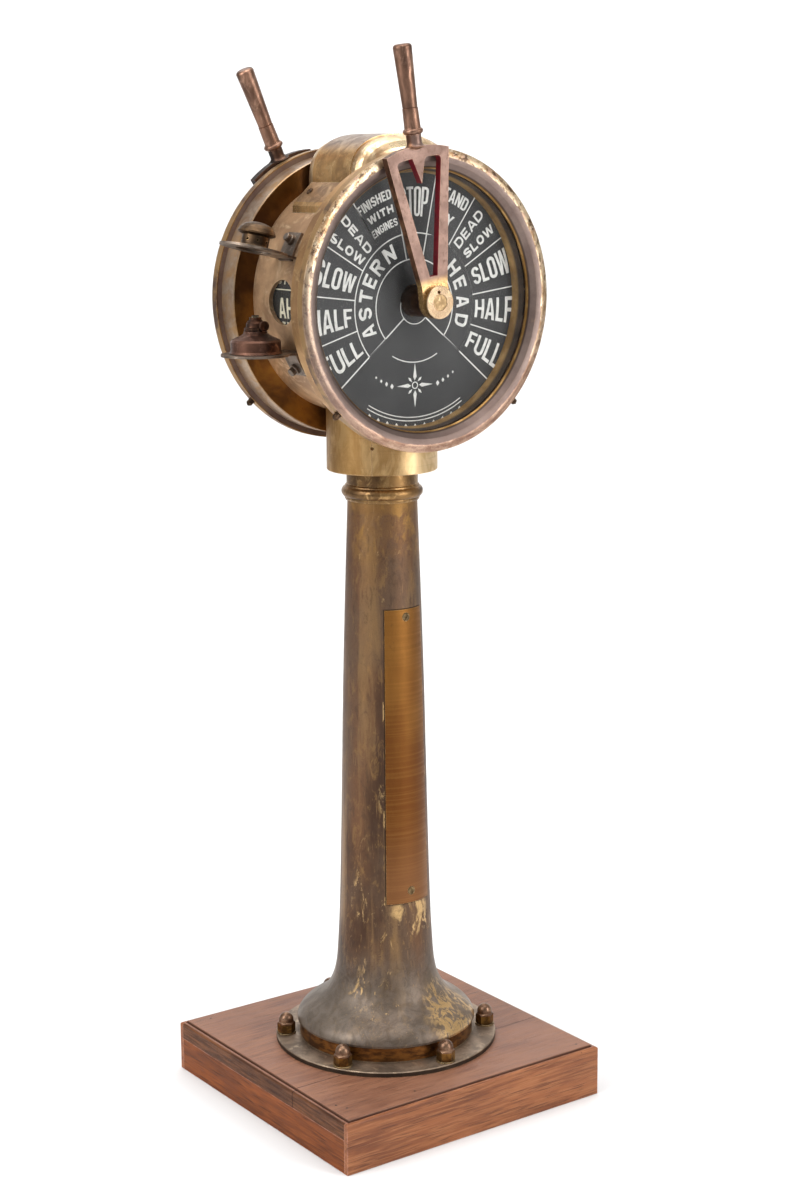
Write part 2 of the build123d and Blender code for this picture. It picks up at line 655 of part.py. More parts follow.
SN = Vector(0.674, 0, 0.739)
rows = []
for sx in (-1, 1):
    for yy in (-24, 24):
        rows.append(slotted_screw((sx * 79.2, yy, 1073.9), (sx * SN.X, 0, SN.Z), 4.2, 1.2, 1.8, 2.0, 40))
with BuildPart() as strap_with_holes:
    add(hood_strap.part)
    for sx in (-1, 1):
        for yy in (-24, 24):
            with BuildSketch(Plane(origin=(sx * 79.2, yy, 1073.9), z_dir=(sx * SN.X, 0, SN.Z))):
                Circle(1.85)
            extrude(amount=-2.2, mode=Mode.SUBTRACT)
            with BuildSketch(Plane(origin=(sx * 79.2, yy, 1073.9), z_dir=(sx * SN.X, 0, SN.Z))):
                Circle(4.3)
            extrude(amount=3, mode=Mode.SUBTRACT)
save(strap_with_holes.part, "hood_strap")
with BuildPart() as hood_screws:
    add(rows)
save(hood_screws.part, "hood_screws")

# ================================================================= lamp brackets and lamp
def on_drum(angle_deg, r):
    a = radians(angle_deg)
    return (r * sin(a), AX_Z + r * cos(a))


def bracket(root, tip_dx, slope_deg, disc_r, hole_r, tab_angles, label):
    """A round tray on a tail, with a tab that lies on the drum; slope lifts the tip."""
    s = radians(slope_deg)
    pl = Plane(origin=(root[0], 0, root[1]), x_dir=(-cos(s), 0, sin(s)), z_dir=(sin(s), 0, cos(s)))
    with BuildPart() as b:
        with BuildSketch(pl):
            with Locations((tip_dx - disc_r, 0)):
                Circle(disc_r)
            with Locations(((tip_dx - disc_r) / 2 - 8, 0)):
                Rectangle(tip_dx - disc_r + 16, 46)
            if hole_r:
                with Locations((tip_dx - disc_r, 0)):
                    Circle(hole_r, mode=Mode.SUBTRACT)
        extrude(amount=2.6)
        with BuildSketch(Plane.XZ.offset(-13)):
            with BuildLine():
                a0, a1 = tab_angles
                am = (a0 + a1) / 2
                r0, r1 = DRUM_R - 1, DRUM_R + 3.0
                ThreePointArc(on_drum(a0, r0), on_drum(am, r0), on_drum(a1, r0))
                Line(on_drum(a1, r0), on_drum(a1, r1))
                ThreePointArc(on_drum(a1, r1), on_drum(am, r1), on_drum(a0, r1))
                Line(on_drum(a0, r1), on_drum(a0, r0))
            make_face()
        extrude(amount=26)
        with BuildSketch(Plane.XZ.offset(-90)):
            with Locations((0, AX_Z)):
                Circle(DRUM_R + 0.05)
        extrude(amount=180, mode=Mode.SUBTRACT)
    return b


UP_S = 13.9
up = bracket((-124.5, 1000.6), 84.5, UP_S, 38.0, 20.0, (-70.5, -56.5), "lamp_bracket_upper")
save(up.part, "lamp_bracket_upper")
low = bracket((-121.0, 897.0), 87.0, 0.0, 38.0, 0, (-113.0, -126.5), "lamp_bracket_lower")
save(low.part, "lamp_bracket_lower")

with BuildPart() as bracket_bosses:
    for a in (-60.5, -122.4):
        x, z = on_drum(a, DRUM_R + 3.05)
        d = (sin(radians(a)), 0, cos(radians(a)))
        with BuildSketch(Plane(origin=(x, 0, z), z_dir=d)):
            Circle(6.2)
        extrude(amount=3)
        with BuildSketch(Plane(origin=(x, 0, z), z_dir=d)):
            Circle(4.6)
        extrude(amount=9)
    chamfer(bracket_bosses.edges().filter_by(GeomType.CIRCLE).group_by(SortBy.RADIUS)[0], 0.7)
save(bracket_bosses.part, "bracket_bosses")

# chimney cap on the upper tray: base flange, pierced neck, sloping skirt and low dome
s = radians(UP_S)
cd = 84.5 - 38.0
c_org = (-124.5 - cd * cos(s) + 2.6 * sin(s), 0, 1000.6 + cd * sin(s) + 2.6 * cos(s))
c_pl = Plane(origin=c_org, x_dir=(0, -1, 0), z_dir=(sin(s), 0, cos(s)))
with BuildPart() as chimney_cap:
    with BuildSketch(Plane(origin=c_org, x_dir=(0, -1, 0), z_dir=(-cos(s), 0, sin(s)))):
        with BuildLine():
            Polyline((12.6, 0), (23.0, 0), (23.0, 1.4), (15.6, 2.4), (15.0, 4.0), (15.2, 13.0), (20.6, 15.4), (21.0, 17.0),
                     (19.0, 21.0), (16.0, 24.6))
            ThreePointArc((16.0, 24.6), (9.0, 27.6), (1.4, 28.6))
            Polyline((1.4, 28.6), (0, 28.6), (0, 26.8), (12.8, 23.6), (17.0, 17.4), (12.6, 15.0), (12.6, 0))
        make_face()
    revolve(axis=Axis(c_org, (sin(s), 0, cos(s))))
    for k in range(8):
        a = radians(22.5 + 45 * k)
        d = c_pl.x_dir * cos(a) + c_pl.y_dir * sin(a)
        with BuildSketch(Plane(origin=Vector(*c_org) + c_pl.z_dir * 8.2, z_dir=d)):
            Circle(1.5)
        extrude(amount=18, mode=Mode.SUBTRACT)
save(chimney_cap.part, "chimney_cap")

LZ = 899.65
with BuildPart() as lamp_reservoir:
    with BuildSketch(Plane(origin=(LAMP_X, 0, LZ), x_dir=(1, 0, 0), z_dir=(0, -1, 0))):
        with BuildLine():
            Polyline((0, 0), (28.6, 0), (29.2, 0.8), (28.4, 2.2), (27.8, 3.2), (27.8, 13.6), (26.2, 15.6), (15.6, 20.6), (13.2, 22.6),
                     (13.2, 24.6), (0, 24.6), close=True)
        make_face()
    revolve(axis=Axis((LAMP_X, 0, LZ), (0, 0, 1)))
save(lamp_reservoir.part, "lamp_reservoir")
with BuildPart() as lamp_burner:
    with BuildSketch(Plane(origin=(LAMP_X, 0, LZ + 24.6), x_dir=(1, 0, 0), z_dir=(0, -1, 0))):
        with BuildLine():
            Polyline((0, 0), (12.2, 0), (12.6, 1.2), (12.6, 3.6), (10.6, 4.4), (10.2, 9.0), (8.6, 11.2), (6.8, 12.4), (6.8, 15.2), (0, 15.2), close=True)
        make_face()
    revolve(axis=Axis((LAMP_X, 0, LZ), (0, 0, 1)))
    with BuildSketch(Plane.XY.offset(LZ + 24.6 + 16.2)):
        with Locations((LAMP_X, 0)):
            Rectangle(8.0, 2.6)
    extrude(amount=-9, mode=Mode.SUBTRACT)
    with BuildSketch(Plane.XZ.offset(6)):
        with Locations((LAMP_X, LZ + 24.6 + 6.6)):
            Circle(1.55)
    extrude(amount=20, mode=Mode.SUBTRACT)
save(lamp_burner.part, "lamp_burner")
with BuildPart() as lamp_wick:
    with BuildSketch(Plane.XY.offset(LZ + 24.6 + 7.3)):
        with Locations((LAMP_X, 0)):
            Rectangle(7.8, 2.4)
    extrude(amount=10.2)
save(lamp_wick.part, "lamp_wick")
KZ = LZ + 24.6 + 6.6
with BuildPart() as wick_knob:
    with BuildSketch(Plane.XZ.offset(6.6)):
        with Locations((LAMP_X, KZ)):
            Circle(1.5)
    extrude(amount=12)
    with BuildSketch(Plane.XZ.offset(16.6)):
        with Locations((LAMP_X, KZ)):
            Circle(5.6)
            with PolarLocations(5.9, 20):
                Circle(0.5, mode=Mode.SUBTRACT)
    extrude(amount=2.6)
save(wick_knob.part, "wick_knob")

for label, n, vol in made:
    print(f"{label:24s} solids {n:2d}  volume {vol:12.1f} mm3")
print("nodes", len(set(m[0] for m in made)))
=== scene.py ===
# Ship engine telegraph: looks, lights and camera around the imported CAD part.
import bpy, bmesh, math
from mathutils import Matrix, Vector


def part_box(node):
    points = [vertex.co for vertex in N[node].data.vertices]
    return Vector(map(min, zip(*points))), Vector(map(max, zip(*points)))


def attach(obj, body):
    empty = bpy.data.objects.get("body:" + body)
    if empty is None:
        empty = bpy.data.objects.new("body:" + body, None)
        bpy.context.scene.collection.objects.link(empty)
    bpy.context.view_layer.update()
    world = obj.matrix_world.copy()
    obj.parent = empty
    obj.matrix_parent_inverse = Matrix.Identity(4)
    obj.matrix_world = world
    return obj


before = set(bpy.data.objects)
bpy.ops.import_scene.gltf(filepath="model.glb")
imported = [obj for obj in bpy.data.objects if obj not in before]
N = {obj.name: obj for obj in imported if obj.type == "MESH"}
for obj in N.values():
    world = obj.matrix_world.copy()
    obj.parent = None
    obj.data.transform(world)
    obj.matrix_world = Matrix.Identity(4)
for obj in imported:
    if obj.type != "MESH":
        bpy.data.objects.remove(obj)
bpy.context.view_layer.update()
mm = 0.001
sin, cos, rad, pi = math.sin, math.cos, math.radians, math.pi
AX_Z = 954.0
TILT = {"front": rad(-8.9), "back": rad(-24.2)}


# ------------------------------------------------------------------ node graph helper
class G:
    """A small writer for material node trees. Sockets and plain numbers mix freely."""

    def __init__(self, name):
        self.m = bpy.data.materials.new(name)
        self.m.use_nodes = True
        self.t = self.m.node_tree
        self.t.nodes.clear()
        self.out = self.t.nodes.new("ShaderNodeOutputMaterial")
        self.pos = self.new("ShaderNodeTexCoord").outputs["Object"]
        self._sep = None
        self._ns = None

    def new(self, kind, **kw):
        n = self.t.nodes.new(kind)
        for k, v in kw.items():
            setattr(n, k, v)
        return n

    def put(self, sock, v):
        if isinstance(v, bpy.types.NodeSocket):
            self.t.links.new(v, sock)
        elif v is not None:
            if hasattr(sock.default_value, "__len__") and not hasattr(v, "__len__"):
                v = (v,) * len(sock.default_value)
            if hasattr(v, "__len__") and len(sock.default_value) == 4 and len(v) == 3:
                v = (*v, 1.0)
            sock.default_value = v

    def xyz(self):
        if self._sep is None:
            n = self.new("ShaderNodeSeparateXYZ")
            self.put(n.inputs[0], self.pos)
            self._sep = n.outputs
        return self._sep

    def nrm(self):
        """The face's own direction in the object's axes."""
        if self._ns is None:
            g = self.new("ShaderNodeNewGeometry").outputs["True Normal"]
            v = self.new("ShaderNodeVectorTransform", vector_type="NORMAL", convert_from="WORLD", convert_to="OBJECT")
            self.put(v.inputs[0], g)
            n = self.new("ShaderNodeSeparateXYZ")
            self.put(n.inputs[0], v.outputs[0])
            self._ns = n.outputs
        return self._ns

    def mt(self, op, a, b=None, c=None, clamp=False):
        n = self.new("ShaderNodeMath", operation=op, use_clamp=clamp)
        for i, v in enumerate((a, b, c)):
            if v is not None:
                self.put(n.inputs[i], v)
        return n.outputs[0]

    def add(self, a, b): return self.mt("ADD", a, b)
    def sub(self, a, b): return self.mt("SUBTRACT", a, b)
    def mul(self, a, b): return self.mt("MULTIPLY", a, b)

    def step(self, v, lo, hi, smooth=True):
        """0 below lo, 1 above hi; lo may be above hi."""
        n = self.new("ShaderNodeMapRange", interpolation_type="SMOOTHSTEP" if smooth else "LINEAR", clamp=True)
        self.put(n.inputs[0], v)
        if lo <= hi:
            self.put(n.inputs[1], lo); self.put(n.inputs[2], hi); self.put(n.inputs[3], 0.0); self.put(n.inputs[4], 1.0)
        else:
            self.put(n.inputs[1], hi); self.put(n.inputs[2], lo); self.put(n.inputs[3], 1.0); self.put(n.inputs[4], 0.0)
        return n.outputs[0]

    def vec(self, scale=(1, 1, 1), off=(0, 0, 0), rot=(0, 0, 0), src=None):
        n = self.new("ShaderNodeMapping")
        self.put(n.inputs[0], src if src is not None else self.pos)
        n.inputs[1].default_value = off
        n.inputs[2].default_value = rot
        n.inputs[3].default_value = scale
        return n.outputs[0]

    def comb(self, x, y, z):
        n = self.new("ShaderNodeCombineXYZ")
        for i, v in enumerate((x, y, z)):
            self.put(n.inputs[i], v)
        return n.outputs[0]

    def noise(self, scale, detail=4.0, rough=0.55, vec=None, dist=0.0):
        n = self.new("ShaderNodeTexNoise")
        self.put(n.inputs["Vector"], vec if vec is not None else self.pos)
        n.inputs["Scale"].default_value = scale
        n.inputs["Detail"].default_value = detail
        n.inputs["Roughness"].default_value = rough
        n.inputs["Distortion"].default_value = dist
        return n.outputs[0]

    def cells(self, scale, vec=None, feature="F1", rnd=1.0):
        n = self.new("ShaderNodeTexVoronoi", feature=feature)
        self.put(n.inputs["Vector"], vec if vec is not None else self.pos)
        n.inputs["Scale"].default_value = scale
        n.inputs["Randomness"].default_value = rnd
        return n.outputs[0]

    def mix(self, f, a, b, mode="MIX"):
        n = self.new("ShaderNodeMix", data_type="RGBA", blend_type=mode)
        self.put(n.inputs[0], f)
        self.put(n.inputs[6], a)
        self.put(n.inputs[7], b)
        return n.outputs[2]

    def lerp(self, f, a, b):
        n = self.new("ShaderNodeMix", data_type="FLOAT")
        self.put(n.inputs[0], f)
        self.put(n.inputs[2], a)
        self.put(n.inputs[3], b)
        return n.outputs[0]

    def edge(self, radius, lo=0.02, hi=0.25):
        """1 on convex and concave edges within radius."""
        b = self.new("ShaderNodeBevel", samples=4)
        b.inputs[0].default_value = radius
        g = self.new("ShaderNodeNewGeometry").outputs["Normal"]
        d = self.new("ShaderNodeVectorMath", operation="DOT_PRODUCT")
        self.put(d.inputs[0], b.outputs[0]); self.put(d.inputs[1], g)
        return self.step(self.sub(1.0, d.outputs["Value"]), lo, hi)

    def bump(self, h, dist, strength=1.0, normal=None):
        n = self.new("ShaderNodeBump")
        n.inputs["Strength"].default_value = strength
        n.inputs["Distance"].default_value = dist
        self.put(n.inputs["Height"], h)
        if normal is not None:
            self.put(n.inputs["Normal"], normal)
        return n.outputs[0]

    def pbr(self, color, rough, metal=0.0, normal=None, **kw):
        b = self.new("ShaderNodeBsdfPrincipled")
        self.put(b.inputs["Base Color"], color)
        self.put(b.inputs["Roughness"], rough)
        self.put(b.inputs["Metallic"], metal)
        if normal is not None:
            self.put(b.inputs["Normal"], normal)
        for k, v in kw.items():
            self.put(b.inputs[k.replace("_", " ")], v)
        self.t.links.new(b.outputs[0], self.out.inputs[0])
        return self.m


def srgb(h):
    """Hex colour as linear light."""
    h = h.lstrip("#")
    out = []
    for i in (0, 2, 4):
        c = int(h[i:i + 2], 16) / 255
        out.append(c / 12.92 if c <= 0.04045 else ((c + 0.055) / 1.055) ** 2.4)
    return tuple(out) + (1.0,)


def dress(mat, *nodes):
    for n in nodes:
        o = N[n]
        o.data.materials.clear()
        o.data.materials.append(mat)


# ------------------------------------------------------------------ metals
def patina(g, bright, mid, dark, scale=22.0, balance=0.5, fine=0.35, stretch=(1, 1, 1)):
    """Old brass: broad stains between dark and mid, rubbed brighter in patches, with fine pitting and speckle."""
    v = g.vec(scale=stretch)
    broad = g.noise(scale, 5, 0.6, v, 0.4)
    rub = g.noise(scale * 2.7, 6, 0.65, g.vec(scale=stretch, off=(3.1, 1.7, 5.2)), 0.8)
    speck = g.noise(900, 3, 0.7)
    c = g.mix(g.step(broad, 0.36, 0.64), dark, mid)
    c = g.mix(g.mul(g.step(rub, balance, balance + 0.22), 0.85), c, bright)
    c = g.mix(g.mul(g.step(speck, 0.52, 0.75), fine), c, dark)
    return c, broad, rub, speck


def brass(name, bright, mid, dark, rough=(0.28, 0.5), scale=22.0, balance=0.5, fine=0.35, stretch=(1, 1, 1),
          wear=None, wear_col=None, bump_d=0.00012, metal=0.9, marks=0.6):
    g = G(name)
    c, broad, rub, speck = patina(g, bright, mid, dark, scale, balance, fine, stretch)
    r = g.lerp(g.step(rub, balance - 0.1, balance + 0.25), rough[1], rough[0])
    r = g.add(r, g.mul(g.sub(speck, 0.5), 0.14))
    if wear:
        e = g.edge(wear)
        e = g.mul(e, g.step(g.noise(150, 4, 0.7), 0.36, 0.56))
        c = g.mix(e, c, wear_col or bright)
        r = g.lerp(e, r, rough[0] * 0.8)
    # hairline scratches, each set along one slant
    s1 = g.step(g.noise(40, 2, 0.5, g.vec(scale=(14, 14, 1.2), rot=(0.15, 0.1, 0.4))), 0.68, 0.72)
    c = g.mix(g.mul(s1, 0.35 * marks), c, bright)
    h = g.add(g.mul(broad, 0.5), g.add(g.mul(speck, 0.3), g.mul(rub, 0.4)))
    nrm = g.bump(h, bump_d, 0.8)
    return g.pbr(c, r, metal, nrm)


# column: brown and olive patina with worn golden streaks that run down it
def column_material():
    g = G("column_patina")
    X, Y, Z = g.xyz()
    ang = g.mt("ARCTAN2", X, g.mul(Y, -1.0))                 # 0 toward the front, positive to +X
    tall = g.vec(scale=(1, 1, 0.22))
    broad = g.noise(15, 6, 0.62, tall, 0.5)
    streak = g.noise(34, 6, 0.6, g.vec(scale=(1, 1, 0.07), off=(1, 2, 3)), 0.2)
    blot = g.noise(60, 5, 0.65, g.vec(off=(5, 1, 2)), 1.0)
    speck = g.noise(700, 3, 0.7)
    olive, brown, dark = srgb("#665242"), srgb("#6f4f38"), srgb("#463226")
    gold, pale = srgb("#9c7a50"), srgb("#c8a470")
    c = g.mix(g.step(broad, 0.34, 0.62), dark, brown)
    c = g.mix(g.mul(g.step(g.noise(9, 4, 0.6, g.vec(scale=(1, 1, .5), off=(7, 7, 7))), 0.44, 0.62), 0.75), c, olive)
    c = g.mix(g.mul(g.step(streak, 0.50, 0.66), 0.55), c, gold)
    # the neck is warmer and rubbed
    neck = g.mul(g.step(Z, 0.60, 0.74), 0.6)
    c = g.mix(g.mul(neck, g.step(blot, 0.36, 0.60)), c, srgb("#7f5a34"))
    # the -X half of the bell's foot is darkened: painted shade
    c = g.mix(g.mul(g.mul(g.step(Z, 0.150, 0.118), g.step(ang, -0.15, -0.55)), 0.45), c, srgb("#4a3d35"))
    # the +X half of the bell's foot is paler: painted highlight
    c = g.mix(g.mul(g.mul(g.step(Z, 0.160, 0.125), g.step(ang, 0.0, 0.35)), 0.55), c, srgb("#b4987c"))
    mott = g.noise(105, 6, 0.72, g.vec(scale=(1, 1, 0.45), off=(6, 2, 8)), 0.6)
    c = g.mix(g.mul(g.step(mott, 0.53, 0.66), 0.42), c, srgb("#9a7648"))
    c = g.mix(g.mul(g.step(mott, 0.46, 0.36), 0.40), c, srgb("#43342c"))
    c = g.mix(g.mul(g.mul(g.step(Z, 0.64, 0.70), g.step(g.noise(38, 5, 0.65, g.vec(scale=(1, 1, 0.55), off=(3, 8, 8)), 0.4), 0.50, 0.60)), 0.7), c, srgb("#a27a40"))
    c = g.mix(g.mul(g.mul(g.step(Z, 0.155, 0.125), g.step(ang, -1.0, -1.35)), 0.45), c, srgb("#94877a"))
    c = g.mix(g.mul(g.step(Z, 0.20, 0.135), 0.62), c, g.mix(g.step(blot, 0.35, 0.65), srgb("#5f574d"), srgb("#7a7066")))
    # scraped bare metal below the door and at the lower right of the bell
    def patch(a0, z0, wa, wz, lo, amount):
        da = g.mt("DIVIDE", g.sub(ang, a0), wa)
        dz = g.mt("DIVIDE", g.sub(Z, z0), wz)
        d = g.mt("SQRT", g.add(g.mul(da, da), g.mul(dz, dz)))
        return g.mul(g.mul(g.step(g.add(d, g.mul(g.sub(fray, 0.5), 1.6)), 1.0, 0.62), g.step(scr, lo, lo + 0.05)), amount)
    scr = g.noise(95, 7, 0.75, g.vec(scale=(1, 1, 0.42), off=(2, 9, 4)), 0.7)
    fray = g.noise(30, 5, 0.7, g.vec(scale=(1, 1, 0.5), off=(8, 1, 6)), 0.5)
    worn = None
    for a0, z0, wa, wz, lo, am in ((0.02, 0.236, 0.62, 0.016, 0.40, 1), (0.10, 0.222, 0.60, 0.022, 0.50, .9), (0.50, 0.104, 0.62, 0.044, 0.47, 1),
                                   (-1.15, 0.215, 0.35, 0.13, 0.56, 0.8), (-0.62, 0.17, 0.40, 0.13, 0.60, 0.8),
                                   (0.55, 0.19, 0.5, 0.05, 0.60, 0.5), (-0.9, 0.66, 0.9, 0.08, 0.61, 0.7),
                                   (-0.68, 0.375, 0.12, 0.022, 0.50, 0.45),
                                   (2.6, 0.3, 1.0, 0.2, 0.60, .8), (1.6, 0.55, 0.7, 0.15, 0.60, .8)):
        p = patch(a0, z0, wa, wz, lo, am)
        worn = p if worn is None else g.mt("MAXIMUM", worn, p)
    worn = g.mul(worn, g.step(fray, 0.40, 0.52))
    c = g.mix(worn, c, pale)
    # a band just under the collar pulled halfway toward a mid golden brown, and dark speckle all over
    c = g.mix(g.mul(g.step(Z, 0.706, 0.716), 0.5), c, srgb("#8a6537"))
    c = g.mix(g.mul(g.step(speck, 0.52, 0.76), 0.45), c, dark)
    e = g.mul(g.edge(0.0009), g.step(blot, 0.40, 0.6))
    c = g.mix(e, c, pale)
    # scratches
    for i, rt in enumerate(((0.1, 0.1, 0.1), (0.25, -0.2, 0.5))):
        s = g.step(g.noise(30, 2, 0.5, g.vec(scale=(16, 16, 1.0), rot=rt, off=(i, i, i))), 0.68, 0.72)
        c = g.mix(g.mul(s, 0.35), c, gold)
    # open joint down both edges of the door, and along its top and foot
    half = rad(34.0)
    dj = g.mul(g.mt("ABSOLUTE", g.sub(g.mt("ABSOLUTE", ang), half)), 0.055)
    inz = g.mul(g.step(Z, 0.2445, 0.2452), g.step(Z, 0.5995, 0.5988))
    jl = g.mul(g.step(dj, 0.0013, 0.0006), inz)
    je = g.mt("MINIMUM", g.mt("ABSOLUTE", g.sub(Z, 0.245)), g.mt("ABSOLUTE", g.sub(Z, 0.599)))
    jt = g.mul(g.step(je, 0.0010, 0.0004), g.step(g.mt("ABSOLUTE", ang), half + 0.01, half))
    c = g.mix(g.mul(g.mt("MAXIMUM", jl, jt), 0.85), c, srgb("#1c1510"))
    chip = g.mul(g.mul(g.step(dj, 0.0034, 0.0016), inz), g.step(g.noise(60, 4, 0.7, g.vec(scale=(1, 1, 0.4), off=(3, 3, 3))), 0.55, 0.60))
    c = g.mix(g.mul(g.mul(chip, g.sub(1.0, jl)), 0.8), c, pale)
    r = g.lerp(g.step(streak, 0.45, 0.7), 0.50, 0.36)
    r = g.lerp(worn, r, 0.30)
    r = g.add(r, g.mul(g.sub(speck, 0.5), 0.16))
    h = g.add(g.mul(broad, 0.6), g.add(g.mul(speck, 0.25), g.mul(worn, -0.25)))
    return g.pbr(c, r, 0.78, g.bump(h, 0.0002, 0.8))


def bezel_material():
    g = G("bezel_worn")
    X, Y, Z = g.xyz()
    x = X
    z = g.sub(Z, AX_Z * mm)
    R = g.mt("SQRT", g.add(g.mul(x, x), g.mul(z, z)))
    A = g.mt("ABSOLUTE", Y)
    ang = g.mt("ARCTAN2", x, z)
    ringv = g.comb(g.mul(ang, 0.05), R, A)                   # stretched along the ring
    scr = g.noise(95, 6, 0.72, ringv, 0.6)
    blot = g.noise(26, 5, 0.62)
    fine = g.noise(800, 3, 0.7)
    purple, gold, pink, pale = srgb("#77655e"), srgb("#a1805c"), srgb("#c9a48e"), srgb("#dfc6a4")
    wall, dark = srgb("#b58d57"), srgb("#2f221b")
    strip = srgb("#5a463c")
    c = g.mix(g.step(blot, 0.35, 0.65), purple, srgb("#8c7a72"))                       # bevel
    c = g.mix(g.mul(g.step(scr, 0.60, 0.70), 0.45), c, srgb("#a98a76"))
    Rw = g.add(R, g.add(g.mul(g.sub(scr, 0.5), 0.0045), g.mul(g.sub(blot, 0.5), 0.0030)))
    c = g.mix(g.mul(g.step(z, -0.06, -0.14), 0.45), c, srgb("#6a5952"))
    crest = g.mul(g.step(Rw, 0.1578, 0.1592), g.step(A, 0.0898, 0.0912))
    cc = g.mix(g.step(scr, 0.40, 0.60), gold, pale)
    cc = g.mix(g.mul(g.step(g.noise(55, 4, 0.7, g.vec(off=(4, 4, 4))), 0.52, 0.64), 0.8), cc, pink)
    cc = g.mix(g.mul(g.step(g.noise(40, 5, 0.7, g.vec(off=(9, 2, 4))), 0.58, 0.66), 0.7), cc, srgb("#6c4e36"))
    cc = g.mix(g.mul(g.step(g.noise(150, 5, 0.75, g.comb(g.mul(ang, 0.10), R, A)), 0.530, 0.575), 0.85), cc, srgb("#4a3428"))
    cc = g.mix(g.mul(g.step(g.noise(190, 5, 0.75, g.comb(g.mul(ang, 0.12), R, g.add(A, 0.3))), 0.55, 0.61), 0.7), cc, srgb("#f0dcbc"))
    low = g.step(z, 0.03, -0.12)
    cc = g.mix(g.mul(low, 0.78), cc, g.mix(g.step(scr, 0.42, 0.6), srgb("#8c6a5c"), srgb("#b08c7a")))
    cc = g.mix(g.mul(g.mul(g.step(x, -0.06, -0.15), g.step(z, 0.08, 0.0)), 0.6), cc, srgb("#7d6c66"))
    c = g.mix(crest, c, cc)
    outer = g.mul(g.step(R, 0.1660, 0.1668), g.step(A, 0.0925, 0.0915))
    oc = g.mix(g.step(blot, 0.36, 0.56), strip, srgb("#9d7d54"))
    oc = g.mix(g.mul(g.step(scr, 0.56, 0.68), 0.6), oc, gold)
    c = g.mix(outer, c, oc)
    inner = g.mul(g.step(R, 0.1464, 0.1456), 1.0)
    c = g.mix(inner, c, g.mix(g.step(scr, 0.45, 0.62), srgb("#8d6836"), wall))
    # a dark ring where the bevel turns into the inner wall: painted shade
    line = g.mul(g.step(R, 0.1476, 0.1468), g.step(R, 0.1452, 0.1458))
    c = g.mix(g.mul(line, 0.75), c, dark)
    e = g.mul(g.edge(0.0011, 0.03, 0.2), g.step(scr, 0.34, 0.5))
    c = g.mix(e, c, srgb("#dcae7a"))
    c = g.mix(g.mul(g.step(fine, 0.53, 0.75), 0.35), c, srgb("#5a4234"))
    r = g.lerp(crest, 0.47, 0.34)
    r = g.lerp(inner, r, 0.36)
    r = g.add(r, g.mul(g.sub(fine, 0.5), 0.15))
    h = g.add(g.mul(scr, 0.5), g.mul(fine, 0.3))
    return g.pbr(c, r, 0.82, g.bump(h, 0.00022, 0.8))


def lever_material(side):
    """Rosy bronze faces, brown sides and red paint inside the frame, in the lever's own axes."""
    g = G(f"{side}_lever_bronze")
    X, Y, Z = g.xyz()
    t = TILT[side]
    z = g.sub(Z, AX_Z * mm)
    u = g.sub(g.mul(X, cos(t)), g.mul(z, sin(t)))
    v = g.add(g.mul(X, sin(t)), g.mul(z, cos(t)))
    au = g.mt("ABSOLUTE", u)
    A = g.mt("ABSOLUTE", Y)
    ny = g.mt("ABSOLUTE", g.nrm()[1])
    back = side == "back"
    # the back lever, seen from behind, gets darker copies of every colour, its sides and worn edges too: painted shade
    rosy, pale, brown = (srgb("#786056"), srgb("#92776b"), srgb("#553a2d")) if not back else (srgb("#4a352a"), srgb("#7a5a48"), srgb("#2a1d17"))
    n1 = g.noise(45, 5, 0.6)
    n2 = g.noise(240, 4, 0.7, g.vec(off=(1, 1, 1)))
    fine = g.noise(1100, 3, 0.75)
    c = g.mix(g.step(n1, 0.35, 0.65), rosy, pale)
    c = g.mix(g.mul(g.step(n2, 0.56, 0.68), 0.45), c, brown)
    c = g.mix(g.mul(g.step(fine, 0.5, 0.72), 0.4), c, brown)
    side_w = g.step(ny, 0.75, 0.35)
    c = g.mix(side_w, c, g.mix(g.step(n1, 0.4, 0.6), brown, srgb("#8d6449") if not back else brown))
    # polished yellow where the frame meets the hub
    hubz = g.mul(g.step(v, 0.030, 0.019), g.step(v, -0.03, -0.0299))
    c = g.mix(g.mul(hubz, 0.85), c, g.mix(g.step(n2, 0.4, 0.6), srgb("#ae8a55"), srgb("#d2ae76")))
    rr = g.mt("SQRT", g.add(g.mul(u, u), g.mul(v, v)))
    face = g.mul(g.step(A, 0.1118, 0.1126), g.step(rr, 0.0190, 0.0184))
    hub_side = g.mul(g.mul(side_w, g.step(rr, 0.0192, 0.0187)), g.step(A, 0.106, 0.108))
    c = g.mix(g.mul(hub_side, 0.75), c, g.mix(n1, srgb("#5c4026"), srgb("#9a733c")))
    c = g.mix(face, c, g.mix(g.step(n1, 0.4, 0.62), srgb("#947d62"), srgb("#ab9678")))
    # red paint on the walls of the window
    mid_u = g.add(g.mul(g.sub(v, 0.029), (0.0424 - 0.0090) / (0.1635 - 0.029) * 0.78), 0.0090)
    red = g.mul(g.mul(side_w, g.step(g.sub(mid_u, au), -0.0004, 0.0004)), g.mul(g.step(v, 0.0268, 0.0276), g.step(v, 0.1632, 0.1624)))
    redc = g.mix(g.step(n2, 0.35, 0.7), srgb("#6c0f1e"), srgb("#8e1526"))
    redc = g.mix(g.mul(g.step(fine, 0.55, 0.75), 0.5), redc, srgb("#3a0a10"))
    c = g.mix(red, c, redc)
    e = g.mul(g.mul(g.edge(0.0009, 0.03, 0.2), g.step(n2, 0.34, 0.52)), g.sub(1.0, red))
    c = g.mix(g.mul(e, 0.8), c, srgb("#dcb092") if not back else srgb("#8a664c"))
    m = g.lerp(red, 0.82, 0.0)
    r = g.lerp(g.step(n2, 0.45, 0.65), 0.42, 0.54)
    r = g.lerp(g.mt("MAXIMUM", g.mul(hubz, 1.0), face), r, 0.27)
    r = g.add(r, g.mul(g.sub(fine, 0.5), 0.2))
    h = g.add(g.mul(n2, 0.5), g.mul(fine, 0.4))
    return g.pbr(c, r, m, g.bump(h, 0.00016, 0.8))


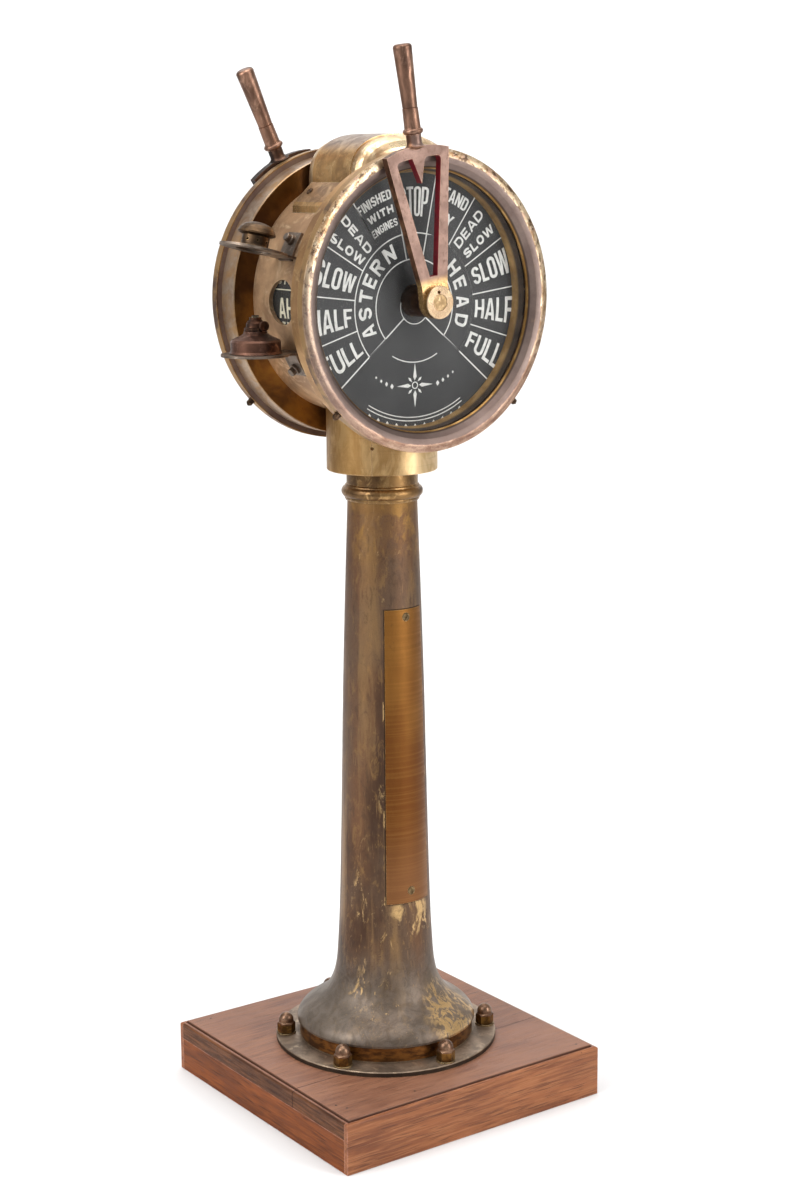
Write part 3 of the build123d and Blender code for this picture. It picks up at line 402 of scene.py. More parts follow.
def wood(name, along, c_lo, c_mid, c_hi, dull=0.0, top=False, spec=0.42):
    """Hardwood with its grain along one axis: long fibres, annual figure, pores and rubbed wax."""
    g = G(name)
    s = [1.0, 1.0, 1.0]
    s["xyz".index(along)] = 0.055
    fib = g.noise(330, 5, 0.65, g.vec(scale=tuple(s)), 0.1)
    s2 = [1.0, 1.0, 1.0]
    s2["xyz".index(along)] = 0.12
    fig = g.noise(48, 4, 0.55, g.vec(scale=tuple(s2), off=(2, 2, 2)), 1.3)
    s3 = [1.0, 1.0, 1.0]
    s3["xyz".index(along)] = 0.03
    pore = g.noise(900, 2, 0.5, g.vec(scale=tuple(s3), off=(5, 3, 1)))
    broad = g.noise(9, 4, 0.55)
    c = g.mix(g.step(fig, 0.32, 0.68), c_lo, c_mid)
    c = g.mix(g.mul(g.step(fib, 0.42, 0.70), 0.7), c, c_hi)
    c = g.mix(g.mul(g.step(pore, 0.57, 0.66), 0.65), c, tuple(x * 0.35 for x in c_lo[:3]) + (1,))
    c = g.mix(g.mul(g.step(broad, 0.45, 0.7), 0.35), c, c_lo)
    X, Y, Z = g.xyz()
    if dull:
        c = g.mix(g.mul(g.step(g.noise(13, 5, 0.6, g.vec(off=(8, 8, 8))), 0.35, 0.65), dull), c, srgb("#8f634b"))
    # pale rubbed arrises and a few dents
    e = g.mul(g.edge(0.0016, 0.02, 0.2), g.step(g.noise(90, 4, 0.7), 0.36, 0.58))
    c = g.mix(g.mul(e, 0.75), c, srgb("#c99482"))
    if top:
        # upper strip of the -X flank is painted dark with its grain and a few darker blotches: painted shade
        flank = g.mul(g.step(X, -0.1800, -0.1816), g.mul(g.step(Z, 0.0395, 0.0405), 1.0))
        fy = g.noise(360, 5, 0.65, g.vec(scale=(1, 0.05, 1), off=(4, 4, 4)), 0.1)
        c = g.mix(g.mul(flank, 0.92), c, g.mix(g.step(fy, 0.38, 0.62), srgb("#40230f"), srgb("#6e4428")))
        c = g.mix(g.mul(g.mul(flank, g.step(g.noise(16, 4, 0.6, g.vec(scale=(1, 0.3, 1))), 0.5, 0.62)), 0.5), c, srgb("#2c1810"))
    if top:
        # seam between the two boards, the quirk behind the bead, and a few nail holes
        seam = g.mul(g.step(g.mt("ABSOLUTE", g.add(Y, 0.07125)), 0.0011, 0.0005), 0.8)
        ax_, ay_ = g.mt("ABSOLUTE", X), g.mt("ABSOLUTE", Y)
        qm = g.mt("MAXIMUM", ax_, ay_)
        quirk = g.mul(g.step(g.mt("ABSOLUTE", g.sub(qm, 0.1774)), 0.0013, 0.0005), 0.75)
        quirk = g.mul(quirk, g.step(Z, 0.0560, 0.0570))
        c = g.mix(g.mt("MAXIMUM", seam, quirk), c, srgb("#2c1712"))
        for hx, hy in ((-0.160, -0.149), (-0.166, -0.136), (-0.072, -0.158), (0.152, 0.16), (-0.15, 0.165), (0.163, -0.166)):
            d = g.mt("SQRT", g.add(g.mt("POWER", g.sub(X, hx), 2), g.mt("POWER", g.sub(Y, hy), 2)))
            c = g.mix(g.step(d, 0.0017, 0.0010), c, srgb("#1a0e0a"))
    dent = g.step(g.cells(34, g.vec(off=(1, 4, 2))), 0.045, 0.02)
    c = g.mix(g.mul(dent, 0.6), c, tuple(x * 0.3 for x in c_lo[:3]) + (1,))
    r = g.add(g.lerp(g.step(fib, 0.35, 0.7), 0.46, 0.58), g.mul(g.step(broad, 0.4, 0.7), -0.06))
    h = g.add(g.mul(fib, 0.55), g.add(g.mul(g.step(pore, 0.55, 0.68), -0.5), g.mul(dent, -1.0)))
    return g.pbr(c, r, 0.0, g.bump(h, 0.00035, 0.7), Specular_IOR_Level=(g.lerp(flank, spec, 0.16) if top else spec))


def enamel(name, base, other, rough=0.55, specks=True, spec=0.25):
    g = G(name)
    n = g.noise(11, 4, 0.6)
    f = g.noise(900, 3, 0.7)
    c = g.mix(g.step(n, 0.35, 0.65), base, other)
    c = g.mix(g.mul(g.step(f, 0.55, 0.8), 0.3), c, tuple(x * 1.7 for x in base[:3]) + (1,))
    if specks:
        s = g.step(g.cells(120, g.vec(off=(2, 1, 1))), 0.10, 0.05)
        c = g.mix(g.mul(s, 0.35), c, srgb("#8a8984"))
    r = g.add(rough, g.mul(g.sub(g.noise(60, 4, 0.6), 0.5), 0.12))
    return g.pbr(c, r, 0.0, g.bump(n, 0.00002, 0.3), Specular_IOR_Level=spec)


def print_material(name, base=(0.55, 0.56, 0.54, 1)):
    g = G(name)
    n = g.noise(140, 4, 0.65)
    f = g.noise(1300, 2, 0.7)
    c = g.mix(g.step(n, 0.35, 0.68), base, tuple(min(1, x * 1.22) for x in base[:3]) + (1,))
    c = g.mix(g.mul(g.step(f, 0.6, 0.8), 0.35), c, tuple(x * 0.55 for x in base[:3]) + (1,))
    return g.pbr(c, g.add(0.6, g.mul(g.sub(f, 0.5), 0.1)), 0.0, None, Specular_IOR_Level=0.2)


def glass_material(name, tint=(0.985, 0.985, 0.98, 1)):
    """Clear pane: passes lamps straight through, mirrors by its angle, with a faint haze of dust."""
    g = G(name)
    tr = g.new("ShaderNodeBsdfTransparent"); tr.inputs[0].default_value = tint
    gl = g.new("ShaderNodeBsdfGlossy"); gl.inputs["Roughness"].default_value = 0.22
    gl.inputs["Color"].default_value = (0.92, 0.92, 0.92, 1)
    df = g.new("ShaderNodeBsdfDiffuse"); df.inputs[0].default_value = (0.75, 0.75, 0.74, 1)
    fr = g.new("ShaderNodeFresnel"); fr.inputs[0].default_value = 1.45
    a = g.new("ShaderNodeMixShader")
    g.put(a.inputs[0], g.mul(fr.outputs[0], 0.06)); g.t.links.new(tr.outputs[0], a.inputs[1]); g.t.links.new(gl.outputs[0], a.inputs[2])
    b = g.new("ShaderNodeMixShader")
    dust = g.add(0.004, g.mul(g.step(g.noise(14, 5, 0.6, g.vec(scale=(1, 1, .35), rot=(0, .6, 0))), 0.48, 0.75), 0.014))
    g.put(b.inputs[0], dust); g.t.links.new(a.outputs[0], b.inputs[1]); g.t.links.new(df.outputs[0], b.inputs[2])
    g.t.links.new(b.outputs[0], g.out.inputs[0])
    return g.m


def housing_material(side):
    """Satin wall with a polished end face, painted a darker orange-brown as shade."""
    g = G(f"{side}_housing_brass")
    c, broad, rub, speck = patina(g, srgb("#d0ac7c"), srgb("#b08a5e"), srgb("#8a6848"), 18, 0.50, 0.3)
    A = g.mt("ABSOLUTE", g.xyz()[1])
    ny = g.mt("ABSOLUTE", g.nrm()[1])
    endf = g.step(ny, 0.6, 0.9)
    if side == "back":
        c = g.mix(g.mul(g.step(rub, 0.3, 0.6), 0.6), c, srgb("#a89c92"))
    # end faces, which look into the gap between the units, take a darker orange-brown: painted shade
    c = g.mix(endf, c, g.mix(g.step(broad, 0.35, 0.65), srgb("#5c3f26"), srgb("#9d7136")))
    # darker still over their upper half: painted shade
    c = g.mix(g.mul(g.mul(endf, g.step(g.xyz()[2], 0.90, 1.00)), 0.65), c, srgb("#2f1b0c"))
    e = g.mul(g.edge(0.0010, 0.03, 0.2), g.step(rub, 0.35, 0.5))
    c = g.mix(g.mul(e, 0.8), c, srgb("#e0b978"))
    r = g.lerp(endf, g.lerp(g.step(rub, 0.4, 0.7), 0.48, 0.34), 0.30)
    r = g.add(r, g.mul(g.sub(speck, 0.5), 0.12))
    return g.pbr(c, r, 0.85, g.bump(g.add(g.mul(broad, .5), g.mul(speck, .3)), 0.00014, 0.8))


def flange_material():
    """Grey-olive ring whose raised band under the bell is bright orange brass."""
    g = G("flange_patina")
    c, broad, rub, speck = patina(g, srgb("#bfa98f"), srgb("#a08c79"), srgb("#746557"), 26, 0.52, 0.4)
    X, Y, Z = g.xyz()
    R = g.mt("SQRT", g.add(g.mul(X, X), g.mul(Y, Y)))
    # a darker ring round the bell's foot, in the corner where bell and flange meet: painted shade
    foot_shade = g.mul(g.step(R, 0.1120, 0.1050), g.step(R, 0.0, 0.001))
    c = g.mix(g.mul(foot_shade, 0.45), c, srgb("#4a3c2c"))
    band = g.mul(g.step(R, 0.1056, 0.1050), g.step(Z, 0.0690, 0.0700))
    c = g.mix(band, c, g.mix(g.step(g.noise(60, 5, 0.65, g.vec(scale=(1, 1, 3))), 0.40, 0.62), srgb("#55351a"), srgb("#8a5c2c")))
    # the outer rim edge is darkened: painted shade
    edge = g.mul(g.step(R, 0.1326, 0.1332), g.step(Z, 0.0678, 0.0668))
    c = g.mix(g.mul(edge, 0.85), c, srgb("#2c2620"))
    e = g.mul(g.edge(0.0009), g.step(rub, 0.36, 0.5))
    c = g.mix(g.mul(e, 0.7), c, srgb("#c8ac7e"))
    r = g.add(g.lerp(g.step(rub, 0.4, 0.7), 0.52, 0.40), g.mul(g.sub(speck, 0.5), 0.14))
    return g.pbr(c, g.lerp(band, r, 0.34), 0.8, g.bump(g.add(g.mul(broad, .5), g.mul(speck, .3)), 0.00014, 0.8))


def nut_material():
    """Acorn nuts: handled rosy-brown domes over darker golden hexagons."""
    g = G("nut_brass")
    n = g.noise(90, 5, 0.65)
    f = g.noise(900, 3, 0.7)
    Z = g.xyz()[2]
    dome = g.mix(g.step(n, 0.38, 0.62), srgb("#634939"), srgb("#90715a"))
    hexa = g.mix(g.step(n, 0.38, 0.62), srgb("#5c4322"), srgb("#9a743a"))
    c = g.mix(g.step(Z, 0.0795, 0.0815), hexa, dome)
    c = g.mix(g.mul(g.step(f, 0.5, 0.75), 0.35), c, srgb("#3c2c1e"))
    e = g.mul(g.edge(0.0006), g.step(n, 0.36, 0.52))
    c = g.mix(g.mul(e, 0.75), c, srgb("#caa070"))
    r = g.add(0.34, g.mul(g.sub(f, 0.5), 0.2))
    return g.pbr(c, r, 0.85, g.bump(g.add(n, g.mul(f, .5)), 0.00012, 0.8))


def door_material():
    """Orange brass sheet with fine brush lines around the column, dulled toward the middle of the height."""
    g = G("door_brass")
    X, Y, Z = g.xyz()
    broad = g.noise(7, 4, 0.55, g.vec(scale=(1, 1, 0.5)), 0.3)
    line = g.noise(26, 5, 0.7, g.vec(scale=(0.25, 0.25, 14)))
    hair = g.noise(60, 3, 0.6, g.vec(scale=(0.2, 0.2, 22), off=(3, 3, 3)))
    spot = g.noise(85, 5, 0.7, g.vec(off=(1, 6, 2)), 0.6)
    speck = g.noise(900, 3, 0.7)
    c = g.mix(g.step(broad, 0.36, 0.62), srgb("#6c401a"), srgb("#8b5e2a"))
    c = g.mix(g.mul(g.step(line, 0.44, 0.66), 0.22), c, srgb("#a07038"))
    c = g.mix(g.mul(g.step(hair, 0.54, 0.68), 0.18), c, srgb("#6b441e"))
    c = g.mix(g.mul(g.step(spot, 0.62, 0.72), 0.45), c, srgb("#5c3c20"))
    c = g.mix(g.mul(g.step(Z, 0.36, 0.26), 0.3), c, srgb("#9a7050"))
    c = g.mix(g.mul(g.step(speck, 0.55, 0.78), 0.35), c, srgb("#5a3a1e"))
    e = g.mul(g.edge(0.0008), g.step(spot, 0.36, 0.52))
    c = g.mix(e, c, srgb("#cfa672"))
    r = g.add(g.lerp(g.step(line, 0.42, 0.62), 0.46, 0.36), g.mul(g.sub(speck, 0.5), 0.12))
    return g.pbr(c, r, 0.88, g.bump(g.add(g.mul(line, 0.5), g.mul(speck, 0.25)), 0.00010, 0.8))


def hood_material(name, a, b, d, crown_share):
    """Cast hood and its strap: pale polished ends and shoulders; the up-facing crown is painted greyer and darker, a
    painted dull reflection.
    """
    g = G(name)
    c, broad, rub, speck = patina(g, srgb(a), srgb(b), srgb(d), 24, 0.44, 0.2)
    up = g.nrm()[2]
    # up-facing surfaces turn greyer and darker: painted dull reflection
    crown = g.step(up, 0.55, 0.92)
    c = g.mix(g.mul(crown, crown_share), c, g.mix(g.step(rub, 0.38, 0.62), srgb("#6a5c56"), srgb("#8f7d6e")))
    e = g.mul(g.edge(0.0015), g.step(rub, 0.34, 0.52))
    c = g.mix(e, c, srgb("#f0dcb4"))
    s1 = g.step(g.noise(40, 2, 0.5, g.vec(scale=(14, 14, 1.2), rot=(0.15, 0.1, 0.4))), 0.68, 0.72)
    c = g.mix(g.mul(s1, 0.2), c, srgb("#8c6c4c"))
    r = g.add(g.lerp(g.step(rub, 0.34, 0.7), 0.40, 0.24), g.mul(g.sub(speck, 0.5), 0.12))
    return g.pbr(c, g.add(r, g.mul(crown, 0.08)), 0.9, g.bump(g.add(g.mul(broad, .5), g.add(g.mul(speck, .3), g.mul(rub, .4))), 0.00012, 0.8))


def spacer_material():
    """Ring between dial and pane: dark beside the pane, which is painted shade, and rubbed gold beside the dial."""
    g = G("spacer_brass")
    A = g.mt("ABSOLUTE", g.xyz()[1])
    n = g.noise(40, 4, 0.6)
    f = g.noise(700, 3, 0.7)
    gold = g.mix(g.step(n, 0.38, 0.62), srgb("#a8814c"), srgb("#c9a268"))
    dark = g.mix(g.step(n, 0.38, 0.62), srgb("#453930"), srgb("#5c4c3f"))
    # dark beside the pane, where the bezel shades the ring: painted shade
    c = g.mix(g.step(g.add(A, g.mul(g.sub(n, 0.5), 0.004)), 0.0695, 0.0745), gold, dark)
    c = g.mix(g.mul(g.step(f, 0.52, 0.75), 0.3), c, srgb("#4a3624"))
    return g.pbr(c, g.add(0.45, g.mul(g.sub(f, 0.5), 0.12)), 0.5, g.bump(f, 0.00008, 0.6))


def block_material():
    """Turned block: a painted highlight makes it pale toward +X, painted shade makes it browner toward -X; darkened in
    its lathe lines.
    """
    g = G("block_brass")
    c, broad, rub, speck = patina(g, srgb("#d4b07c"), srgb("#b48e5c"), srgb("#8a683e"), 20, 0.48, 0.3, (1, 1, 0.5))
    X, Y, Z = g.xyz()
    ang = g.mt("ARCTAN2", X, g.mul(Y, -1.0))
    # paler toward +X: painted highlight
    c = g.mix(g.mul(g.step(ang, -0.45, 0.15), 0.7), c, g.mix(g.step(rub, 0.4, 0.6), srgb("#d9b988"), srgb("#f0d4a6")))
    # browner toward -X: painted shade
    c = g.mix(g.mul(g.step(ang, -0.75, -1.15), 0.6), c, g.mix(g.step(rub, 0.4, 0.6), srgb("#8a6638"), srgb("#aa8450")))
    turn = g.noise(50, 4, 0.7, g.vec(scale=(0.12, 0.12, 9), off=(2, 2, 2)))
    c = g.mix(g.mul(g.step(turn, 0.56, 0.68), 0.4), c, srgb("#83613a"))
    e = g.mul(g.edge(0.0011), g.step(rub, 0.34, 0.52))
    c = g.mix(e, c, srgb("#e8c898"))
    r = g.add(g.lerp(g.step(rub, 0.38, 0.7), 0.46, 0.32), g.mul(g.sub(speck, 0.5), 0.12))
    return g.pbr(c, r, 0.88, g.bump(g.add(g.mul(broad, .5), g.add(g.mul(speck, .3), g.mul(turn, .4))), 0.00012, 0.8))


M = {}
M["column"] = column_material()
M["door"] = door_material()
M["flange"] = flange_material()
M["nut"] = nut_material()
M["washer"] = brass("washer_brass", srgb("#b79f77"), srgb("#967e5a"), srgb("#605039"), (0.38, 0.52), 60, 0.50, 0.3, wear=0.0005)
M["collar"] = brass("collar_brass", srgb("#b99463"), srgb("#8b6a42"), srgb("#5a432c"), (0.26, 0.42), 30, 0.48, 0.3, wear=0.0012, wear_col=srgb("#d9b883"))
M["block"] = block_material()
M["drum"] = brass("drum_brass", srgb("#e8caa4"), srgb("#cba680"), srgb("#9a7a5e"), (0.40, 0.52), 16, 0.50, 0.28, wear=0.0010, wear_col=srgb("#e0c494"), metal=0.75, marks=0.3)
M["hood"] = hood_material("hood_brass", "#f6e0b8", "#dfc098", "#9a7a58", 0.15)
M["strap"] = hood_material("strap_brass", "#e6bc84", "#cea06a", "#987650", 0.9)
M["bezel"] = bezel_material()
M["spacer"] = spacer_material()
M["screw"] = brass("dark_screw_brass", srgb("#8e7050"), srgb("#5e4836"), srgb("#33271e"), (0.35, 0.5), 90, 0.55, 0.4, wear=0.0005, wear_col=srgb("#a5855e"))
M["door_screw"] = brass("door_screw_brass", srgb("#b09468"), srgb("#8a7250"), srgb("#57462f"), (0.35, 0.5), 90, 0.50, 0.3, wear=0.0005)
M["bronze_dark"] = brass("dark_boss", srgb("#7a5842"), srgb("#543b2c"), srgb("#32231a"), (0.35, 0.5), 60, 0.58, 0.3, marks=0.2)
M["inner"] = brass("machined_brass", srgb("#bda27c"), srgb("#9f8660"), srgb("#7c6446"), (0.25, 0.38), 60, 0.46, 0.2)
M["grip"] = brass("grip_bronze", srgb("#b08a74"), srgb("#8d6a57"), srgb("#5e463a"), (0.34, 0.46), 40, 0.48, 0.4, (1, 1, 0.4), wear=0.0008, wear_col=srgb("#b98e72"))
M["bracket"] = brass("bracket_patina", srgb("#b2a294"), srgb("#8c7e72"), srgb("#5c5148"), (0.36, 0.5), 30, 0.50, 0.4, wear=0.0008, wear_col=srgb("#b89a78"))
M["copper"] = brass("lamp_copper", srgb("#9a7261"), srgb("#6b4b3d"), srgb("#47322a"), (0.30, 0.46), 34, 0.50, 0.4, wear=0.0008, wear_col=srgb("#c09a88"))
M["burner"] = brass("burner_brass", srgb("#8a5f48"), srgb("#5a3c2e"), srgb("#2e2019"), (0.32, 0.48), 60, 0.52, 0.4, wear=0.0006, wear_col=srgb("#b88a64"))
M["cap"] = brass("cap_brass", srgb("#84694c"), srgb("#5f4934"), srgb("#3b2e23"), (0.32, 0.46), 34, 0.52, 0.4, wear=0.0008, wear_col=srgb("#c09c68"))
M["steel"] = brass("old_steel", srgb("#8f8f8c"), srgb("#6e6d6a"), srgb("#45433f"), (0.3, 0.5), 50, 0.5, 0.3)
M["dial"] = enamel("dial_enamel", srgb("#424243"), srgb("#363637"), 0.60, spec=0.12)
M["order"] = enamel("order_enamel", srgb("#15130f"), srgb("#1d1a15"), 0.5, False)
M["print"] = print_material("dial_print", (0.66, 0.66, 0.64, 1))
M["print_cream"] = print_material("order_print", (0.62, 0.58, 0.44, 1))
M["glass"] = glass_material("clear_pane")

dress(M["column"], "column")
dress(M["door"], "column_door")
dress(M["flange"], "foot_flange")
dress(M["nut"], "acorn_nuts")
dress(M["washer"], "foot_washers", "foot_studs")
dress(M["steel"], "under_nuts", "gong_pillars", "gong_hammer")
dress(M["collar"], "column_collar")
dress(M["block"], "socket_block")
dress(M["drum"], "drum")
dress(M["hood"], "hood")
dress(M["strap"], "hood_strap")
dress(M["door_screw"], "door_screws")
dress(M["screw"], "hood_screws", "front_bezel_screws", "back_bezel_screws")
dress(M["bezel"], "front_bezel", "back_bezel")
dress(M["spacer"], "front_dial_spacer", "back_dial_spacer")
dress(M["bronze_dark"], "front_boss", "back_boss")
dress(M["inner"], "front_bush", "back_bush", "front_shaft", "back_shaft", "front_chain_wheel", "back_chain_wheel", "gong")
dress(M["grip"], "front_grip", "front_grip_ferrule", "back_grip", "back_grip_ferrule")
dress(M["bracket"], "lamp_bracket_upper", "lamp_bracket_lower", "bracket_bosses")
dress(M["copper"], "lamp_reservoir")
dress(M["burner"], "lamp_burner", "wick_knob")
dress(M["cap"], "chimney_cap")
dress(M["dial"], "front_dial", "back_dial")
dress(M["order"], "order_drum")
dress(M["glass"], "front_glass", "back_glass", "window_glass")
for s in ("front", "back"):
    dress(housing_material(s), f"{s}_housing")
    dress(lever_material(s), f"{s}_lever")
dress(wood("board_top", "x", srgb("#6d4431"), srgb("#865941"), srgb("#986b50"), dull=0.5, top=True), "plinth_front_board", "plinth_rear_board")
dress(wood("facing_wood", "x", srgb("#743f20"), srgb("#965932"), srgb("#b07449"), spec=0.38), "plinth_front_facing", "plinth_back_facing")
dress(wood("rail_wood", "y", srgb("#5f2f12"), srgb("#7e421c"), srgb("#97562d"), spec=0.16), "plinth_side_rails")
dress(wood("cross_wood", "x", srgb("#74422a"), srgb("#8a5436"), srgb("#a06c48")), "plinth_cross_rails", "plinth_bearer")


def wick_material():
    g = G("wick_cotton")
    w = g.new("ShaderNodeTexWave", wave_type="BANDS", bands_direction="Z")
    w.inputs["Scale"].default_value = 400; w.inputs["Distortion"].default_value = 1.5
    c = g.mix(g.step(w.outputs[1], 0.3, 0.7), srgb("#b9ab8c"), srgb("#dcd2b8"))
    X, Y, Z = g.xyz()
    c = g.mix(g.step(Z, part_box("lamp_wick")[1].z - 0.003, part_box("lamp_wick")[1].z), c, srgb("#2a2522"))
    return g.pbr(c, 0.85, 0.0, g.bump(w.outputs[1], 0.0002, 0.8))


dress(wick_material(), "lamp_wick")


# ------------------------------------------------------------------ lettering
def rrect(x0, y0, x1, y1, rs, n=6):
    """Rounded rectangle, corner radii in the order (x0,y0), (x1,y0), (x1,y1), (x0,y1)."""
    pts = []
    for (cx, cy, sx, sy, a0), r in zip(((x0, y0, 1, 1, 180), (x1, y0, -1, 1, 270), (x1, y1, -1, -1, 0), (x0, y1, 1, -1, 90)), rs):
        if r <= 1e-9:
            pts.append((cx, cy))
            continue
        for i in range(n + 1):
            a = rad(a0 + 90 * i / n)
            pts.append((cx + sx * r + r * cos(a), cy + sy * r + r * sin(a)))
    return pts


def ribbon(path, t):
    """A closed outline of width t around an open path, with mitred corners."""
    L, Rr = [], []
    for i, p in enumerate(path):
        a = path[max(i - 1, 0)]; b = path[min(i + 1, len(path) - 1)]
        d1 = Vector(p) - Vector(a) if i else Vector(b) - Vector(p)
        d2 = Vector(b) - Vector(p) if i < len(path) - 1 else d1
        d1.normalize(); d2.normalize()
        n1 = Vector((-d1.y, d1.x)); n2 = Vector((-d2.y, d2.x))
        m = (n1 + n2)
        m = m / max(m.length_squared / 2, 0.35) if m.length > 1e-6 else n1
        L.append((p[0] + m.x * t / 2, p[1] + m.y * t / 2))
        Rr.append((p[0] - m.x * t / 2, p[1] - m.y * t / 2))
    return L + Rr[::-1]


def arc(cx, cy, rx, ry, a0, a1, n=8):
    return [(cx + rx * cos(rad(a0 + (a1 - a0) * i / n)), cy + ry * sin(rad(a0 + (a1 - a0) * i / n))) for i in range(n + 1)]


WIDTH = {"I": 0.34, "L": 0.82, "F": 0.84, "E": 0.86, "T": 0.92, "W": 1.45, "N": 1.06, "A": 1.06, "Y": 1.0, "-": 0.5}


def letter(ch, w, h, t):
    """Closed outlines of a bold condensed capital in a box w wide and h high, with strokes t wide."""
    r = min(w, h) * 0.46
    ri = max(r - t, 0.15 * t)
    if ch == "I":
        return [[(0, 0), (w, 0), (w, h), (0, h)]]
    if ch == "L":
        return [[(0, 0), (w, 0), (w, t), (t, t), (t, h), (0, h)]]
    if ch == "F":
        m = h * 0.50
        return [[(0, 0), (t, 0), (t, m - t / 2), (w * .86, m - t / 2), (w * .86, m + t / 2), (t, m + t / 2), (t, h - t), (w, h - t), (w, h), (0, h)]]
    if ch == "E":
        m = h * 0.51
        return [[(0, 0), (w, 0), (w, t), (t, t), (t, m - t / 2), (w * .88, m - t / 2), (w * .88, m + t / 2), (t, m + t / 2), (t, h - t), (w, h - t), (w, h), (0, h)]]
    if ch == "H":
        m = h * 0.51
        return [[(0, 0), (t, 0), (t, m - t / 2), (w - t, m - t / 2), (w - t, 0), (w, 0), (w, h), (w - t, h), (w - t, m + t / 2), (t, m + t / 2), (t, h), (0, h)]]
    if ch == "T":
        return [[(w / 2 - t / 2, 0), (w / 2 + t / 2, 0), (w / 2 + t / 2, h - t), (w, h - t), (w, h), (0, h), (0, h - t), (w / 2 - t / 2, h - t)]]
    if ch == "U":
        o = arc(w / 2, r, w / 2, r, 180, 360, 10)
        i = arc(w / 2, r, w / 2 - t, max(r - t, .1 * t), 360, 180, 10)
        return [[(0, h)] + o + [(w, h), (w - t, h)] + i + [(t, h)]]
    if ch == "O":
        return [rrect(0, 0, w, h, (r,) * 4), rrect(t, t, w - t, h - t, (ri,) * 4)]
    if ch == "D":
        return [rrect(0, 0, w, h, (0, r, r, 0)), rrect(t, t, w - t, h - t, (0, ri, ri, 0))]
    if ch == "P":
        m = h * 0.42
        rb = min(w, h - m) * 0.48
        b = [(t, m)] + arc(w - rb, m + rb, rb, rb, -90, 0, 5) + arc(w - rb, h - rb, rb, rb, 0, 90, 5) + [(0, h), (0, 0), (t, 0)]
        return [b, rrect(t, m + t, w - t, h - t, (0, max(rb - t, .1 * t), max(rb - t, .1 * t), 0))]
    if ch == "R":
        m = h * 0.42
        rb = min(w, h - m) * 0.48
        b = [(t, m), (w * .40, m), (w - t * 1.05, 0), (w, 0), (w * .72, m * 1.02)] + arc(w - rb, m + rb, rb, rb, -60, 0, 4) + arc(w - rb, h - rb, rb, rb, 0, 90, 5) + [(0, h), (0, 0), (t, 0)]
        return [b, rrect(t, m + t, w - t, h - t, (0, max(rb - t, .1 * t), max(rb - t, .1 * t), 0))]
    if ch == "B":
        m = h * 0.52
        rt = min(w, h - m) * 0.45; rl = min(w, m) * 0.45
        b = [(0, 0)] + arc(w - rl, rl, rl, rl, -90, 0, 5) + arc(w - rl, m - rl * .9, rl, rl * .9, 0, 60, 4) + arc(w * .97 - rt, m + rt * .9, rt, rt * .9, -60, 0, 4) + arc(w * .97 - rt, h - rt, rt, rt, 0, 90, 5) + [(0, h)]
        return [b, rrect(t, t, w - t, m - t / 2, (0, max(rl - t, .1 * t), max(rl - t, .1 * t), 0)), rrect(t, m + t / 2, w * .97 - t, h - t, (0, max(rt - t, .1 * t), max(rt - t, .1 * t), 0))]
    if ch == "N":
        d = h * 0.40
        k = t * 1.12
        return [[(0, 0), (t, 0), (t, h - d), (w - k, 0), (w, 0), (w, h), (w - t, h), (w - t, d), (k, h), (0, h)]]
    if ch == "W":
        k = t * 0.95
        a, b = w * .27, w * .73
        yb = h * 0.34
        return [[(0, h), (k, h), (a + k * .06, yb), (w / 2 - k * .5, h), (w / 2 + k * .5, h), (b - k * .06, yb), (w - k, h), (w, h),
                 (b + k * .55, 0), (b - k * .55, 0), (w / 2, h - yb), (a + k * .55, 0), (a - k * .55, 0)]]
    if ch == "A":
        k = t * 1.05
        ap = t * 0.62
        yb, yt = h * 0.20, h * 0.20 + t
        il = lambda y: k + (w / 2 - k) * (y / (h * 0.86))          # inner flank, from the foot to the apex of the opening
        return [[(0, 0), (k, 0), (il(yb), yb), (w - il(yb), yb), (w - k, 0), (w, 0), (w / 2 + ap, h), (w / 2 - ap, h)],
                [(il(yt), yt), (w - il(yt), yt), (w / 2 + .01 * t, h * 0.85), (w / 2 - .01 * t, h * 0.85)]]
    if ch == "Y":
        k = t * 1.1
        return [[(w / 2 - t / 2, 0), (w / 2 + t / 2, 0), (w / 2 + t / 2, h * .42), (w, h), (w - k, h), (w / 2, h * .60), (k, h), (0, h), (w / 2 - t / 2, h * .42)]]
    if ch == "S":
        rx = w / 2 - t / 2
        ry = h * 0.255 - t * 0.25
        p = arc(w / 2, h - t / 2 - ry, rx, ry, 8, 180, 12)
        q = arc(w / 2, t / 2 + ry, rx, ry, 0, -172, 12)
        return [ribbon(p + [(t / 2 + rx * .22, h * .56), (w - t / 2 - rx * .22, h * .44)] + q, t)]
    if ch == "G":
        rx = w / 2 - t / 2
        ry = h * 0.26 - t * 0.25
        p = arc(w / 2, h - t / 2 - ry, rx, ry, 8, 180, 10) + arc(w / 2, t / 2 + ry, rx, ry, 180, 360, 10)
        return [ribbon(p + [(w - t / 2, h * .47), (w * .52, h * .47)], t)]
    return []


def set_word(text, length, h, t, gap=None):
    """Outlines of a word that is length long and h high."""
    gap = gap if gap is not None else 0.55 * t
    ws = [WIDTH.get(c, 1.0) for c in text]
    free = length - gap * (len(text) - 1) - sum(t for c in text if c == "I")
    unit = free / sum(w for c, w in zip(text, ws) if c != "I")
    x, out = 0.0, []
    for c, w in zip(text, ws):
        wd = t if c == "I" else w * unit
        for loop in letter(c, wd, h, t):
            out.append([(px + x, py) for px, py in loop])
        x += wd + gap
    return out


def dense(loop, stepmm=1.2):
    out = []
    for i, p in enumerate(loop):
        q = loop[(i + 1) % len(loop)]
        L = math.hypot(q[0] - p[0], q[1] - p[1])
        k = max(1, int(L / stepmm))
        out += [(p[0] + (q[0] - p[0]) * j / k, p[1] + (q[1] - p[1]) * j / k) for j in range(k)]
    return out


def polar(R, th):
    """(x, z) at radius R and angle th in degrees clockwise from the top."""
    return R * sin(rad(th)), R * cos(rad(th))


